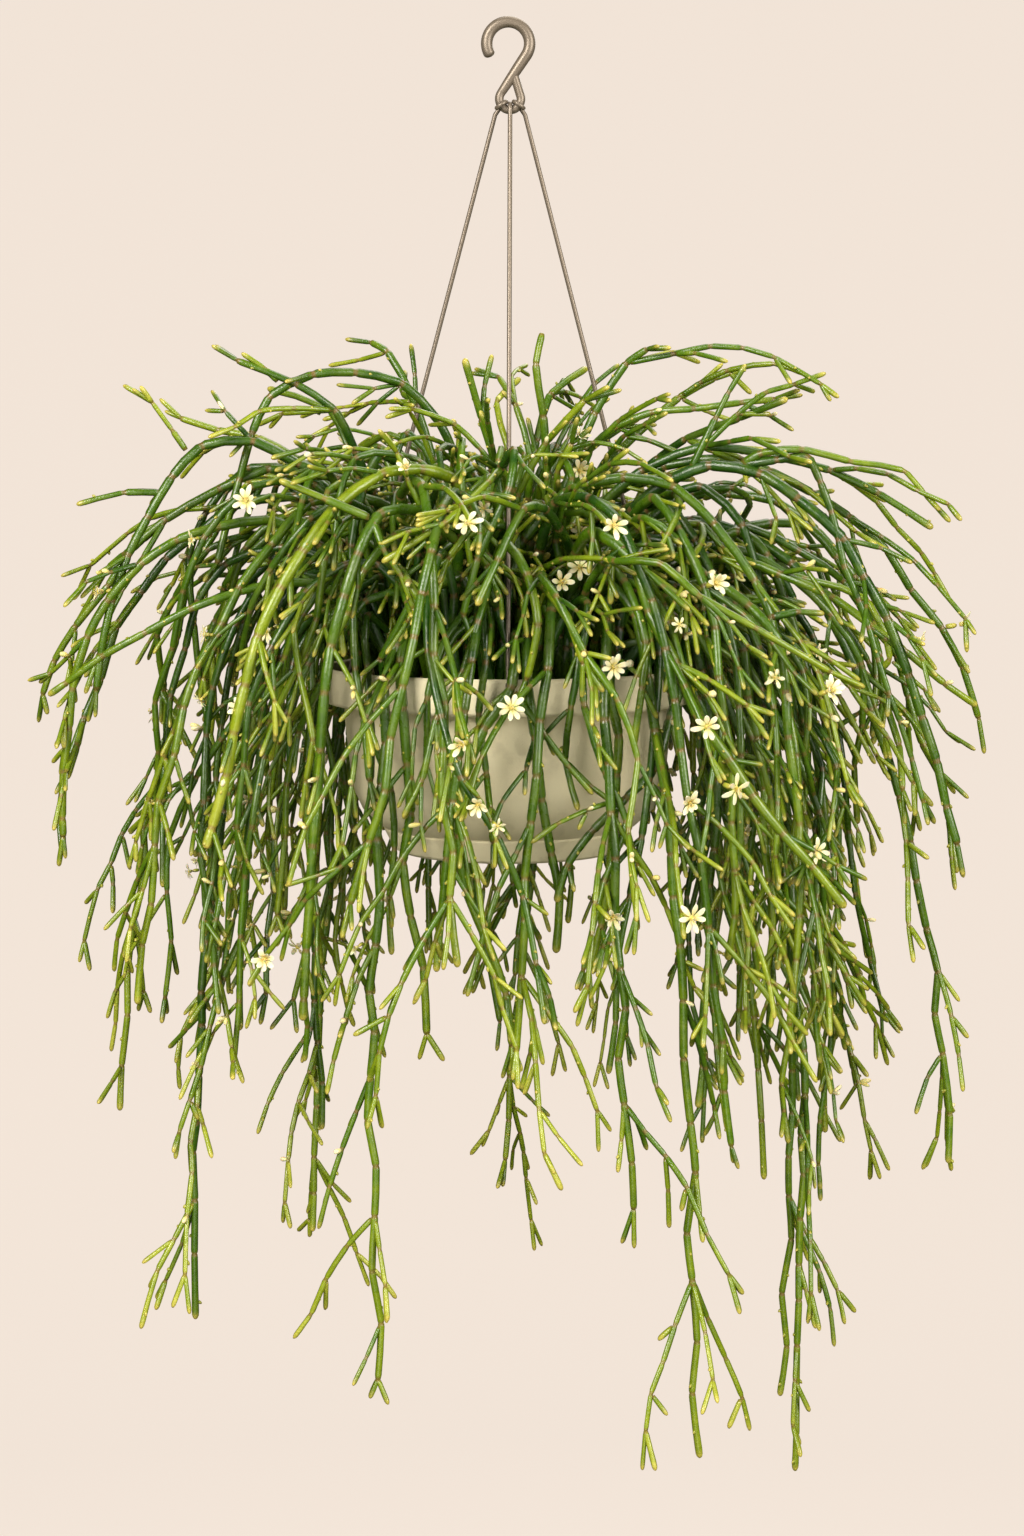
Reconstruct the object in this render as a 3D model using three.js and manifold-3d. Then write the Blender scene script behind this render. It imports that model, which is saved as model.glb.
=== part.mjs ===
import * as THREE from 'three';
import { mergeVertices } from 'three/addons/utils/BufferGeometryUtils.js';
import Module from 'manifold-3d';

// A mistletoe cactus, a leafless trailing cactus with jointed stems, in a hanging bowl.
// Millimetres, +Z up. The origin is the point inside the hook's bend that bears on whatever
// carries it. The bowl's axis is the Z axis, and the front of the plant faces -Y.

const wasm = await Module();
wasm.setup();

// ---- driving dimensions ----

const gap = 0.35; // between pieces that rest in or on each other
const clearance = 0.45; // kept by stems from everything that isn't their own clump

const rimZ = -336; // top of the bowl's rim
const lathe = { segments: 24 };

// Radius and depth below the rim, from the middle of the underside round to the inner floor.
const bowlProfile = [
  [0, 96.5], [50, 96.5], [51, 98], [58.5, 98], [61, 96.6], [66.3, 86.2], [65.8, 85.2],
  [68.3, 84], [77.5, 75.5], [81.8, 66], [84.3, 51], [86.6, 30], [87, 19.5], [96.8, 19],
  [98, 17.5], [98.6, 2], [97.2, 0],
  [95.4, 0.8], [94.6, 16], [84, 17], [81, 52], [72.5, 74], [57, 93.5], [0, 93.5],
];
const wireHole = { radius: 1.8, depth: 8 };
const drain = { radius: 3.5, ring: 30, count: 4 };

// The soil fills the bowl up to this depth and keeps the gap to its inner face.
const soilDepth = 11;
const soilZ = rimZ - soilDepth;
const soilProfile = [
  [0, 93.05], [56.8, 93.05], [72.1, 73.6], [80.6, 51.8], [83.6, 16.65], [94.25, 15.65],
  [94.5, soilDepth], [0, soilDepth],
];

const hook = { rod: 2.7, bend: 8.6, tipAngle: 208, sides: 7 };
const eye = { rod: 1.9, ring: 5.7, x: 1.0, z: -37.6, segments: 12 };
const wire = { rod: 1.0, sides: 5, spread: 55 };
const wireHeadings = { front: -90, right: 20, left: 160 };

// ---- small vector and random helpers ----

const degrees = Math.PI / 180;
const up = [0, 0, 1];

const plus = (a, b) => [a[0] + b[0], a[1] + b[1], a[2] + b[2]];
const minus = (a, b) => [a[0] - b[0], a[1] - b[1], a[2] - b[2]];
const times = (a, k) => [a[0] * k, a[1] * k, a[2] * k];
const dot = (a, b) => a[0] * b[0] + a[1] * b[1] + a[2] * b[2];
const cross = (a, b) => [
  a[1] * b[2] - a[2] * b[1], a[2] * b[0] - a[0] * b[2], a[0] * b[1] - a[1] * b[0],
];
const size = (a) => Math.sqrt(dot(a, a));
const unit = (a) => times(a, 1 / size(a));
const blend = (a, b, k) => a + (b - a) * k;
const outward = (angle) => [Math.cos(angle), Math.sin(angle), 0];

function seededDraw(seed) {
  let state = seed;
  return (low = 0, high = 1) => {
    state = (state * 16807) % 2147483647;
    return low + (high - low) * (state / 2147483647);
  };
}

// ---- closed solids ----

function solid(geometry) {
  geometry.deleteAttribute('normal');
  geometry.deleteAttribute('uv');
  const merged = mergeVertices(geometry);
  const mesh = new wasm.Mesh({
    numProp: 3,
    vertProperties: new Float32Array(merged.attributes.position.array),
    triVerts: new Uint32Array(merged.index.array),
  });
  return new wasm.Manifold(mesh);
}

function geometryOf(body) {
  const mesh = body.getMesh();
  const geometry = new THREE.BufferGeometry();
  geometry.setAttribute('position', new THREE.BufferAttribute(mesh.vertProperties, 3));
  geometry.setIndex(new THREE.BufferAttribute(mesh.triVerts, 1));
  geometry.computeVertexNormals();
  return geometry;
}

// A cylinder bent along its joints, one ring of the given radius at each, with ends that
// bulge out by a share of their radius.
function bentRod(points, radii, sides, bulge = 0) {
  const steps = points.length - 1;
  const tangents = points.map((point, i) => {
    const before = i > 0 ? unit(minus(point, points[i - 1])) : [0, 0, 0];
    const after = i < steps ? unit(minus(points[i + 1], point)) : [0, 0, 0];
    return unit(plus(before, after));
  });
  const first = Math.abs(tangents[0][2]) < 0.9 ? up : [1, 0, 0];
  let across = unit(cross(first, tangents[0]));
  const frames = tangents.map((tangent) => {
    across = unit(minus(across, times(tangent, dot(across, tangent))));
    return { across, along: tangent, aside: cross(across, tangent) };
  });
  const geometry = new THREE.CylinderGeometry(1, 1, steps, sides, steps);
  const position = geometry.attributes.position;
  for (let i = 0; i < position.count; i += 1) {
    const ring = Math.round(position.getY(i) + steps / 2);
    const x = position.getX(i) * radii[ring];
    const z = position.getZ(i) * radii[ring];
    const middle = Math.abs(x) + Math.abs(z) < 1e-6;
    const lift = middle ? bulge * radii[ring] * (ring === 0 ? -1 : 1) : 0;
    const frame = frames[ring];
    const place = plus(
      plus(points[ring], times(frame.across, x)),
      plus(times(frame.aside, z), times(frame.along, lift)),
    );
    position.setXYZ(i, ...place);
  }
  return geometry;
}

function turned(profile, segments = lathe.segments) {
  const points = profile.map(([radius, depth]) => new THREE.Vector2(radius, rimZ - depth));
  const geometry = new THREE.LatheGeometry(points, segments);
  geometry.rotateX(Math.PI / 2);
  return geometry;
}

// ---- what stems keep clear of ----

// Capsules, each with two ends, a radius and the clump that it belongs to.
const taken = [];

function segmentDistance(a, b, c, d) {
  const u = minus(b, a);
  const v = minus(d, c);
  const w = minus(a, c);
  const uu = dot(u, u);
  const vv = dot(v, v);
  const uv = dot(u, v);
  const uw = dot(u, w);
  const vw = dot(v, w);
  const det = uu * vv - uv * uv;
  let s = det > 1e-9 ? Math.min(Math.max((uv * vw - vv * uw) / det, 0), 1) : 0;
  let t = vv > 1e-9 ? (uv * s + vw) / vv : 0;
  t = Math.min(Math.max(t, 0), 1);
  s = uu > 1e-9 ? Math.min(Math.max((uv * t - uw) / uu, 0), 1) : 0;
  return size(plus(w, minus(times(u, s), times(v, t))));
}

function segmentClear(a, b, radius, owner) {
  return taken.every((other) => other.owner === owner
    || segmentDistance(a, b, other.a, other.b) > radius + other.radius + clearance);
}

const guard = bowlProfile.slice(0, 19).map(([radius, depth]) => [radius, rimZ - depth]);

function bowlClear(point, radius) {
  const rho = Math.hypot(point[0], point[1]);
  const z = point[2];
  if (rho < 94 && z > rimZ - 30 && z < soilZ + radius + clearance) return false;
  for (let i = 0; i + 1 < guard.length; i += 1) {
    const [r0, z0] = guard[i];
    const [r1, z1] = guard[i + 1];
    const dr = r1 - r0;
    const dz = z1 - z0;
    const k = ((rho - r0) * dr + (z - z0) * dz) / (dr * dr + dz * dz);
    const t = Math.min(Math.max(k, 0), 1);
    if (Math.hypot(rho - r0 - dr * t, z - z0 - dz * t) < radius + 2 * clearance) return false;
  }
  return true;
}

const guardStep = 4; // spacing of the places where a stem is tested against the bowl

function stemClear(points, radii, owner, rooted) {
  for (let i = 0; i + 1 < points.length; i += 1) {
    const radius = Math.max(radii[i], radii[i + 1]);
    if (!segmentClear(points[i], points[i + 1], radius, owner)) return false;
    const span = minus(points[i + 1], points[i]);
    const count = Math.ceil(size(span) / guardStep);
    for (let j = 0; j <= count; j += 1) {
      const place = plus(points[i], times(span, j / count));
      const atFoot = rooted && size(minus(place, points[0])) < foot.radius + 3;
      if (!atFoot && !bowlClear(place, radius)) return false;
    }
  }
  return true;
}

function take(points, radii, owner) {
  for (let i = 0; i + 1 < points.length; i += 1) {
    const radius = Math.max(radii[i], radii[i + 1]);
    taken.push({ a: points[i], b: points[i + 1], radius, owner });
  }
}

// ---- hanger ----

// The rod bends over the top, runs down on the straight line that touches both bends, and
// closes in an eye.
function makeHook() {
  const bendRing = hook.bend + hook.rod;
  const bendCentre = [0, 0, -hook.bend];
  const eyeCentre = [eye.x, 0, eye.z];
  const between = minus(eyeCentre, bendCentre);
  const lean = Math.asin((bendRing + eye.ring) / size(between));
  const fall = Math.atan2(between[0], -between[2]);
  const slant = lean - fall; // of the straight run, from the vertical
  const leaveAngle = -slant / degrees;
  const points = [];
  const bendSteps = 10;
  for (let i = 0; i <= bendSteps; i += 1) {
    const angle = blend(hook.tipAngle, leaveAngle, i / bendSteps) * degrees;
    points.push(plus(bendCentre, [bendRing * Math.cos(angle), 0, bendRing * Math.sin(angle)]));
  }
  const touch = Math.PI - slant;
  const end = plus(eyeCentre, [eye.ring * Math.cos(touch), 0, eye.ring * Math.sin(touch)]);
  points.push(plus(times(points[bendSteps], 0.4), times(end, 0.6)), end);
  const tip = minus(points[0], times(unit(minus(points[1], points[0])), 0.7 * hook.rod));
  points.unshift(tip);
  const radii = points.map(() => hook.rod);
  radii[0] = 0.6 * hook.rod;
  radii[points.length - 2] = blend(hook.rod, eye.rod, 0.4);
  radii[points.length - 1] = blend(hook.rod, eye.rod, 0.8);
  const rod = solid(bentRod(points, radii, hook.sides, 0.2));
  const ring = new THREE.TorusGeometry(eye.ring, eye.rod, hook.sides, eye.segments);
  ring.rotateX(Math.PI / 2);
  ring.translate(...eyeCentre);
  return rod.add(solid(ring));
}

// A wire is looped over the eye's rod, runs straight to the rim and passes out through its hole.
function wireRoute(heading, seat) {
  const angle = heading * degrees;
  const radial = outward(angle);
  const side = Math.sign(radial[1]); // which face of the eye the wire leaves from
  const drop = [Math.sin(seat * degrees), 0, -Math.cos(seat * degrees)];
  const loop = eye.rod + wire.rod + gap;
  const centre = plus([eye.x, 0, eye.z], times(drop, eye.ring));
  const points = [];
  for (let turn = -25; turn >= -270; turn -= 35) {
    const bend = turn * degrees;
    const ring = plus(times(drop, Math.cos(bend)), [0, side * Math.sin(bend), 0]);
    points.push(plus(centre, times(ring, loop)));
  }
  const inner = bowlProfile[17][0] - 0.4;
  const outer = bowlProfile[15][0];
  const holeZ = rimZ - wireHole.depth;
  const at = (radius, z) => [radial[0] * radius, radial[1] * radius, z];
  const low = at(inner - 4.2, holeZ + 5);
  const high = plus(points[points.length - 1], times(drop, 3));
  points.push(plus(high, times(unit(minus(low, high)), 3)));
  points.push(low, at(inner - 3.2, holeZ + 1.4), at(inner - 1, holeZ));
  points.push(at(outer + 1.2, holeZ), at(outer + 2.6, holeZ + 1.6), at(outer + 2.9, holeZ + 6));
  return points;
}

function makeWire(heading, seat, name) {
  const points = wireRoute(heading, seat);
  const radii = points.map(() => wire.rod);
  take(points, radii, name);
  return bentRod(points, radii, wire.sides, 0.2);
}

function makeBowl() {
  let body = solid(turned(bowlProfile));
  for (const heading of Object.values(wireHeadings)) {
    const hole = new THREE.CylinderGeometry(wireHole.radius, wireHole.radius, 20, 6);
    hole.rotateZ(Math.PI / 2);
    hole.translate(bowlProfile[15][0], 0, rimZ - wireHole.depth);
    hole.rotateZ(heading * degrees);
    body = body.subtract(solid(hole));
  }
  for (let i = 0; i < drain.count; i += 1) {
    const hole = new THREE.CylinderGeometry(drain.radius, drain.radius, 12, 6);
    hole.rotateX(Math.PI / 2);
    hole.translate(drain.ring, 0, rimZ - 95);
    hole.rotateZ((i / drain.count) * 2 * Math.PI);
    body = body.subtract(solid(hole));
  }
  return body;
}

// ---- the plant ----

const weldTolerance = 0.15; // slivers left by joining the stems are closed up to this size
const clumpCount = 24;
const frondsPerClump = 2;
const foot = { radius: 5, depth: 13, height: 6, sides: 4, ring: 79 };
const stem = { base: 3.6, end: 2.3, twig: 2.2, neck: 1.5, tip: 1.6, sides: 4, twigSides: 3 };
const infill = {
  attempts: 80, turn: 75, rises: [64, 124], inner: 108, outer: [150, 206], twigShare: 0.35,
};
const goldenTurn = 137.508;
const draw = seededDraw(4127);

// Where the longest and most open stems end: tip, furthest reach from the axis, rise above
// the soil and how far the route swings round on its way out, in degrees.
const leadFronds = [
  { tip: [-65, -104, -686], reach: 128, rise: 84, swing: 8 },
  { tip: [153, -14, -766], reach: 180, rise: 80, swing: -10 },
  { tip: [96, -104, -726], reach: 150, rise: 92, swing: 9 },
  { tip: [150, 40, -744], reach: 176, rise: 96, swing: 12 },
  { tip: [-162, -52, -672], reach: 180, rise: 90, swing: -8 },
  { tip: [-112, 96, -668], reach: 160, rise: 88, swing: 10 },
  { tip: [-2, 150, -640], reach: 166, rise: 76, swing: 12 },
  { tip: [4, -128, -516], reach: 132, rise: 70, swing: -9 },
  { tip: [62, -118, -596], reach: 138, rise: 66, swing: 12 },
  { tip: [231, -30, -596], reach: 214, rise: 104, swing: 8 },
  { tip: [244, 30, -452], reach: 208, rise: 112, swing: -10 },
  { tip: [246, -24, -362], reach: 190, rise: 118, swing: 9 },
  { tip: [216, -60, -262], reach: 150, rise: 112, swing: 10 },
  { tip: [-244, -20, -350], reach: 186, rise: 112, swing: -10 },
  { tip: [-232, -46, -414], reach: 200, rise: 104, swing: 8 },
  { tip: [-212, 28, -582], reach: 208, rise: 96, swing: 9 },
  { tip: [-186, -90, -500], reach: 196, rise: 110, swing: -9 },
];

// Young upright stems above the crown, by their tips.
const shoots = [
  [18, 20, -160], [72, -30, -170], [126, 26, -178], [-74, 34, -164], [-140, -30, -176],
  [-178, 44, -204], [140, -58, -196], [-22, -62, -176], [44, 86, -176], [-60, 110, -190],
];

// Blooms by the side they face: place across the plant, positive to the right of someone
// looking at that side, and height.
const bloomSides = [
  { heading: -90, places: [
    [-85, -300], [-119, -356], [9, -224], [-11, -266], [16, -269], [31, -290], [48, -340],
    [21, -360], [-6, -378], [50, -242], [102, -288], [111, -341], [118, -400], [152, -364],
    [154, -420], [82, -384], [82, -451], [-107, -479], [-117, -236],
  ] },
  { heading: 90, places: [[-80, -300], [20, -262], [96, -352], [-30, -372], [124, -256]] },
  { heading: 0, places: [[-40, -290], [52, -372]] },
  { heading: 180, places: [[-48, -352], [36, -276]] },
];
const bloom = {
  petals: 6, petal: 7.4, notch: 2.6, height: 6, blade: 0.7, spur: 8, spurRadius: 1.3, search: 30,
};
const reachLimit = 244; // furthest that any stem or bloom stands from the bowl's axis
const lowLimit = -769; // the lowest that any stem hangs, at the axis or behind it
const frontLift = 0.37; // in front of it the limit rises by this share of the distance
const highLimit = -158; // and the highest that any side stem grows
const tipBulge = 0.7; // how far a stem's end stands out, as a share of its radius

const clumps = [];

function placeClumps() {
  for (let i = 0; i < clumpCount; i += 1) {
    const radius = foot.ring * Math.sqrt((i + 0.35) / clumpCount);
    const place = times(outward((i * goldenTurn + 31) * degrees), radius);
    clumps.push({ name: `stems_${i + 1}`, place, room: frondsPerClump, stems: [] });
  }
}

// The clump with room that stands nearest to where a stem of that heading would grow.
function clumpFor(heading, ring) {
  const wish = times(outward(heading), ring);
  const open = clumps.filter((clump) => clump.room > 0);
  open.sort((a, b) => size(minus(a.place, wish)) - size(minus(b.place, wish)));
  return open[0];
}

// Joints along a curve from the soil up over the rim and down to its tip.
function routeOf(start, shape, jointLength) {
  const heading = Math.atan2(shape.tip[1], shape.tip[0]) - shape.swing * degrees;
  const crest = times(outward(heading), shape.reach);
  const [firstLift, secondLift] = shape.lifts;
  const p1 = plus(times(start, 0.8), times(crest, 0.2));
  p1[2] = soilZ + firstLift;
  const p2 = [crest[0], crest[1], soilZ + secondLift];
  const curve = (t) => {
    const k = 1 - t;
    return plus(
      plus(times(start, k * k * k), times(p1, 3 * k * k * t)),
      plus(times(p2, 3 * k * t * t), times(shape.tip, t * t * t)),
    );
  };
  const points = [start];
  const fine = 200;
  let length = 0;
  let last = start;
  let next = jointLength(0);
  for (let i = 1; i <= fine; i += 1) {
    const place = curve(i / fine);
    length += size(minus(place, last));
    last = place;
    if (length >= next && i < fine - 6) {
      const kink = [draw(-2, 2), draw(-2, 2), draw(-1.5, 1.5)];
      points.push(plus(place, kink));
      next += jointLength(i / fine);
    }
  }
  points.push(shape.tip);
  return points;
}

const taper = (points, from, to) => points.map((point, i) => (
  blend(from, to, i / (points.length - 1))));

function perpendicular(direction, roll) {
  const flat = Math.abs(direction[2]) < 0.9 ? up : [1, 0, 0];
  const across = unit(cross(flat, direction));
  const aside = cross(direction, across);
  return plus(times(across, Math.cos(roll)), times(aside, Math.sin(roll)));
}

// A side stem: it leaves its joint at an angle and is drawn down by its weight.
function twigRoute(from, direction, count, length, droop) {
  const points = [from];
  let heading = direction;
  for (let i = 0; i < count; i += 1) {
    const reach = length * (1 - 0.18 * i) * draw(0.85, 1.15);
    points.push(plus(points[i], times(heading, reach)));
    const stray = [draw(-0.12, 0.12), draw(-0.12, 0.12), -droop];
    heading = unit(plus(heading, stray));
  }
  return points;
}

function growTwig(clump, from, along, options) {
  for (let attempt = 0; attempt < options.attempts; attempt += 1) {
    const away = perpendicular(along, draw(0, 2 * Math.PI));
    const lean = draw(...options.lean) * degrees;
    const direction = plus(times(along, Math.cos(lean)), times(away, Math.sin(lean)));
    const length = draw(...options.length);
    const points = twigRoute(from, direction, options.count, length, options.droop);
    const radii = taper(points, stem.twig, stem.tip);
    radii[0] = stem.neck;
    const end = points[points.length - 1];
    const lowest = lowLimit + frontLift * Math.max(0, -end[1]);
    const inside = Math.hypot(end[0], end[1]) < reachLimit && end[2] > lowest
      && end[2] < highLimit;
    const radial = outward(Math.atan2(from[1], from[0]));
    const outer = dot(away, radial) > -0.35;
    if (inside && outer && stemClear(points, radii, clump.name, false)) {
      take(points, radii, clump.name);
      clump.stems.push({ points, radii, sides: stem.twigSides });
      return points;
    }
  }
  return null;
}

function growMain(clump, shape, jointLength) {
  const start = [clump.place[0], clump.place[1], soilZ + 3];
  const points = routeOf(start, shape, jointLength);
  const radii = taper(points, stem.base, stem.end);
  if (!stemClear(points, radii, clump.name, true)) return null;
  take(points, radii, clump.name);
  clump.stems.push({ points, radii, sides: stem.sides });
  clump.room -= 1;
  return points;
}

// A main stem with its side stems and the fork at its end.
function growFrond(clump, shape, twigCount) {
  const jointLength = (t) => draw(46, 60) + 22 * t;
  const points = growMain(clump, shape, jointLength);
  if (!points) return false;
  const last = points.length - 1;
  const firstTwig = Math.max(2, Math.round(last * 0.34));
  for (let i = 0; i < twigCount; i += 1) {
    const share = (i + draw(0, 0.9)) / twigCount;
    const joint = Math.min(last - 1, Math.round(blend(firstTwig, last, share)));
    const along = unit(minus(points[joint + 1], points[joint - 1]));
    growTwig(clump, points[joint], along, {
      attempts: 14, lean: [22, 44], count: draw() < 0.75 ? 2 : 3, length: [31, 44], droop: 0.3,
    });
  }
  const along = unit(minus(points[last], points[last - 1]));
  growTwig(clump, points[last - 1], along, {
    attempts: 16, lean: [20, 34], count: 1, length: [24, 38], droop: 0.2,
  });
  return true;
}

const arching = (rise) => [1.5 * rise, 1.25 * rise];
const upright = (tip) => [0.6 * (tip[2] - soilZ), 0.95 * (tip[2] - soilZ)];

function growLeads() {
  for (const lead of leadFronds) {
    const heading = Math.atan2(lead.tip[1], lead.tip[0]);
    for (let attempt = 0; attempt < 40; attempt += 1) {
      const ring = blend(86, 14, (lead.rise - 60) / 60) + draw(-12, 12);
      const clump = clumpFor(heading + draw(-25, 25) * degrees, ring);
      const rise = lead.rise + draw(-1, 1) * attempt;
      const shape = { ...lead, lifts: arching(rise), swing: lead.swing + draw(-1, 1) * attempt };
      if (growFrond(clump, shape, 4)) break;
    }
  }
}

function growShoots() {
  for (const tip of shoots) {
    const heading = Math.atan2(tip[1], tip[0]);
    for (let attempt = 0; attempt < 30; attempt += 1) {
      const stray = [draw(-1, 1) * attempt, draw(-1, 1) * attempt, draw(-1, 0) * attempt];
      const end = plus(tip, stray);
      const reach = Math.hypot(end[0], end[1]) * 0.62;
      const clump = clumpFor(heading + draw(-40, 40) * degrees, draw(4, 60));
      const shape = { tip: end, reach, swing: draw(-20, 20), lifts: upright(end) };
      if (growFrond(clump, shape, 2)) break;
    }
  }
}

// Every other stem: its heading goes round by the golden turn, and it trails furthest at the
// sides of the bowl.
function growRest() {
  for (let i = 0; clumps.some((clump) => clump.room > 0) && i < 400; i += 1) {
    const heading = (i * goldenTurn + draw(-20, 20)) * degrees;
    const sideways = Math.abs(Math.cos(heading)) ** 1.5;
    const layer = draw();
    const ring = blend(82, 6, layer) + draw(-8, 8);
    const clump = clumpFor(heading, ring);
    const rise = blend(58, 122, layer) + draw(-8, 8);
    const reach = blend(122, blend(172, 214, sideways), Math.sqrt(layer)) + draw(-14, 14);
    const drop = blend(draw(420, 560), draw(430, 740), sideways);
    const end = times(outward(heading), reach * draw(0.84, 1.06));
    const tip = [end[0], end[1], -drop];
    const shape = { tip, reach, swing: draw(-22, 22), lifts: arching(rise) };
    growFrond(clump, shape, draw() < 0.4 ? 3 : 4);
  }
}

// One more stem in each clump fills the crown and the curtains. At the front it ends above the
// rim, so that the bowl shows.
function growInfill() {
  for (const clump of clumps) {
    const own = Math.atan2(clump.place[1], clump.place[0]) / degrees;
    for (let attempt = 0; attempt < infill.attempts; attempt += 1) {
      const heading = (own + draw(-infill.turn, infill.turn)) * degrees;
      const sideways = Math.abs(Math.cos(heading)) ** 1.5;
      const low = Math.sin(heading) < 0 ? 330 : 560;
      const drop = blend(draw(280, low), draw(320, 640), sideways);
      const furthest = blend(infill.outer[0], infill.outer[1], sideways);
      const reach = blend(infill.inner, furthest, draw());
      const end = times(outward(heading), reach * draw(0.86, 1.06));
      const tip = [end[0], end[1], -drop];
      const shape = { tip, reach, swing: draw(-30, 30), lifts: arching(draw(...infill.rises)) };
      const points = growMain(clump, shape, (t) => draw(66, 82) + 20 * t);
      if (points) {
        const joint = Math.max(1, Math.floor(draw(0.4, 0.8) * (points.length - 1)));
        const along = unit(minus(points[joint + 1], points[joint - 1]));
        if (draw() < infill.twigShare) {
          growTwig(clump, points[joint], along, {
            attempts: 14, lean: [22, 44], count: 2, length: [30, 42], droop: 0.3,
          });
        }
        break;
      }
    }
  }
}

// A bloom stands on a short spur at the outermost joint near its place, seen from its side.
function placeBloom(name, heading, across, height) {
  const forward = outward(heading);
  const aside = outward(heading + Math.PI / 2);
  const seats = [];
  for (const clump of clumps) {
    for (const { points } of clump.stems) {
      for (const point of points.slice(1)) {
        const offset = Math.hypot(dot(point, aside) - across, point[2] - height);
        const score = dot(point, forward) - 1.5 * offset;
        if (offset < bloom.search && size(minus(point, clump.place)) > 30) {
          seats.push({ clump, point, score });
        }
      }
    }
  }
  seats.sort((a, b) => b.score - a.score);
  for (const { clump, point } of seats.slice(0, 30)) {
    for (let attempt = 0; attempt < 8; attempt += 1) {
      const radial = outward(Math.atan2(point[1], point[0]));
      const stray = [draw(-0.5, 0.5), draw(-0.5, 0.5), draw(-0.3, 0.5)];
      const direction = unit(plus(plus(forward, times(radial, 0.6)), stray));
      const spur = [point, plus(point, times(direction, bloom.spur))];
      const radii = [stem.neck, bloom.spurRadius];
      const base = plus(spur[1], times(direction, tipBulge * bloom.spurRadius + gap));
      const middle = plus(base, times(direction, bloom.height * 0.8));
      const free = Math.hypot(middle[0], middle[1]) < reachLimit
        && stemClear(spur, radii, clump.name, false)
        && segmentClear(middle, middle, bloom.petal + gap, name);
      if (free) {
        take(spur, radii, clump.name);
        take([middle, middle], [bloom.petal, bloom.petal], name);
        clump.stems.push({ points: spur, radii, sides: stem.twigSides });
        return { name, base, direction };
      }
    }
  }
  return null;
}

// A star of petals on a short cone: each second spoke of the turned shape is drawn in.
function bloomGeometry({ base, direction }) {
  const { petal, notch, height, blade } = bloom;
  const profile = [[0, 0], [petal, height - blade], [petal, height], [0, height * 0.7]];
  const points = profile.map(([radius, along]) => new THREE.Vector2(radius, along));
  const geometry = new THREE.LatheGeometry(points, 2 * bloom.petals);
  const position = geometry.attributes.position;
  for (let i = 0; i < position.count; i += 1) {
    const x = position.getX(i);
    const z = position.getZ(i);
    const spoke = Math.round((Math.atan2(z, x) / Math.PI) * bloom.petals);
    if (Math.hypot(x, z) > 2 && spoke % 2 !== 0) {
      const share = notch / petal;
      position.setXYZ(i, x * share, blend(height * 0.62, position.getY(i), share), z * share);
    }
  }
  const turn = new THREE.Quaternion();
  turn.setFromUnitVectors(new THREE.Vector3(0, 1, 0), new THREE.Vector3(...direction));
  geometry.applyQuaternion(turn);
  geometry.translate(...base);
  return geometry;
}

function makeClump(clump) {
  const { place, stems } = clump;
  const low = [place[0], place[1], soilZ - foot.depth];
  const high = [place[0], place[1], soilZ + foot.height];
  const footRadii = [foot.radius, foot.radius * 0.8];
  const bodies = [solid(bentRod([low, high], footRadii, foot.sides, 0))];
  for (const { points, radii, sides } of stems) {
    bodies.push(solid(bentRod(points, radii, sides, tipBulge)));
  }
  return wasm.Manifold.union(bodies).simplify(weldTolerance);
}

function makeSoil() {
  let body = solid(turned(soilProfile));
  for (const { place } of clumps) {
    const width = foot.radius + gap / Math.cos(Math.PI / foot.sides);
    const low = [place[0], place[1], soilZ - foot.depth - gap];
    const high = [place[0], place[1], soilZ + 10];
    body = body.subtract(solid(bentRod([low, high], [width, width], foot.sides, 0)));
  }
  return body;
}

// ---- finishes and assembly ----

const finish = (color, roughness, metalness = 0) => (
  new THREE.MeshStandardMaterial({ color, roughness, metalness }));

const bowlPlastic = finish(0xaba287, 0.6);
const soilMix = finish(0x3a2a1e, 0.95);
const steel = finish(0x8f8475, 0.35, 0.9);
const skin = finish(0x55803a, 0.5);
const petals = finish(0xf3ecc8, 0.6);

const group = new THREE.Group();

function add(name, geometry, material) {
  const mesh = new THREE.Mesh(geometry, material);
  mesh.name = name;
  group.add(mesh);
}

add('hook', geometryOf(makeHook()), steel);
const seats = { left: -wire.spread, front: 0, right: wire.spread };
for (const [side, heading] of Object.entries(wireHeadings)) {
  add(`wire_${side}`, makeWire(heading, seats[side], `wire_${side}`), steel);
}
add('bowl', geometryOf(makeBowl()), bowlPlastic);

placeClumps();
growLeads();
growShoots();
growRest();
const blooms = [];
for (const { heading, places } of bloomSides) {
  for (const [across, height] of places) {
    const placed = placeBloom(`bloom_${blooms.length + 1}`, heading * degrees, across, height);
    if (placed) blooms.push(placed);
  }
}
growInfill();
add('soil', geometryOf(makeSoil()), soilMix);
for (const clump of clumps) {
  add(clump.name, geometryOf(makeClump(clump)), skin);
}

for (const placed of blooms) {
  add(placed.name, geometryOf(solid(bloomGeometry(placed))), petals);
}

export default group;
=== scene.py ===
import math
from collections import Counter
import bmesh
import bpy
import numpy as np
from mathutils import Matrix, Vector, noise


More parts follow.
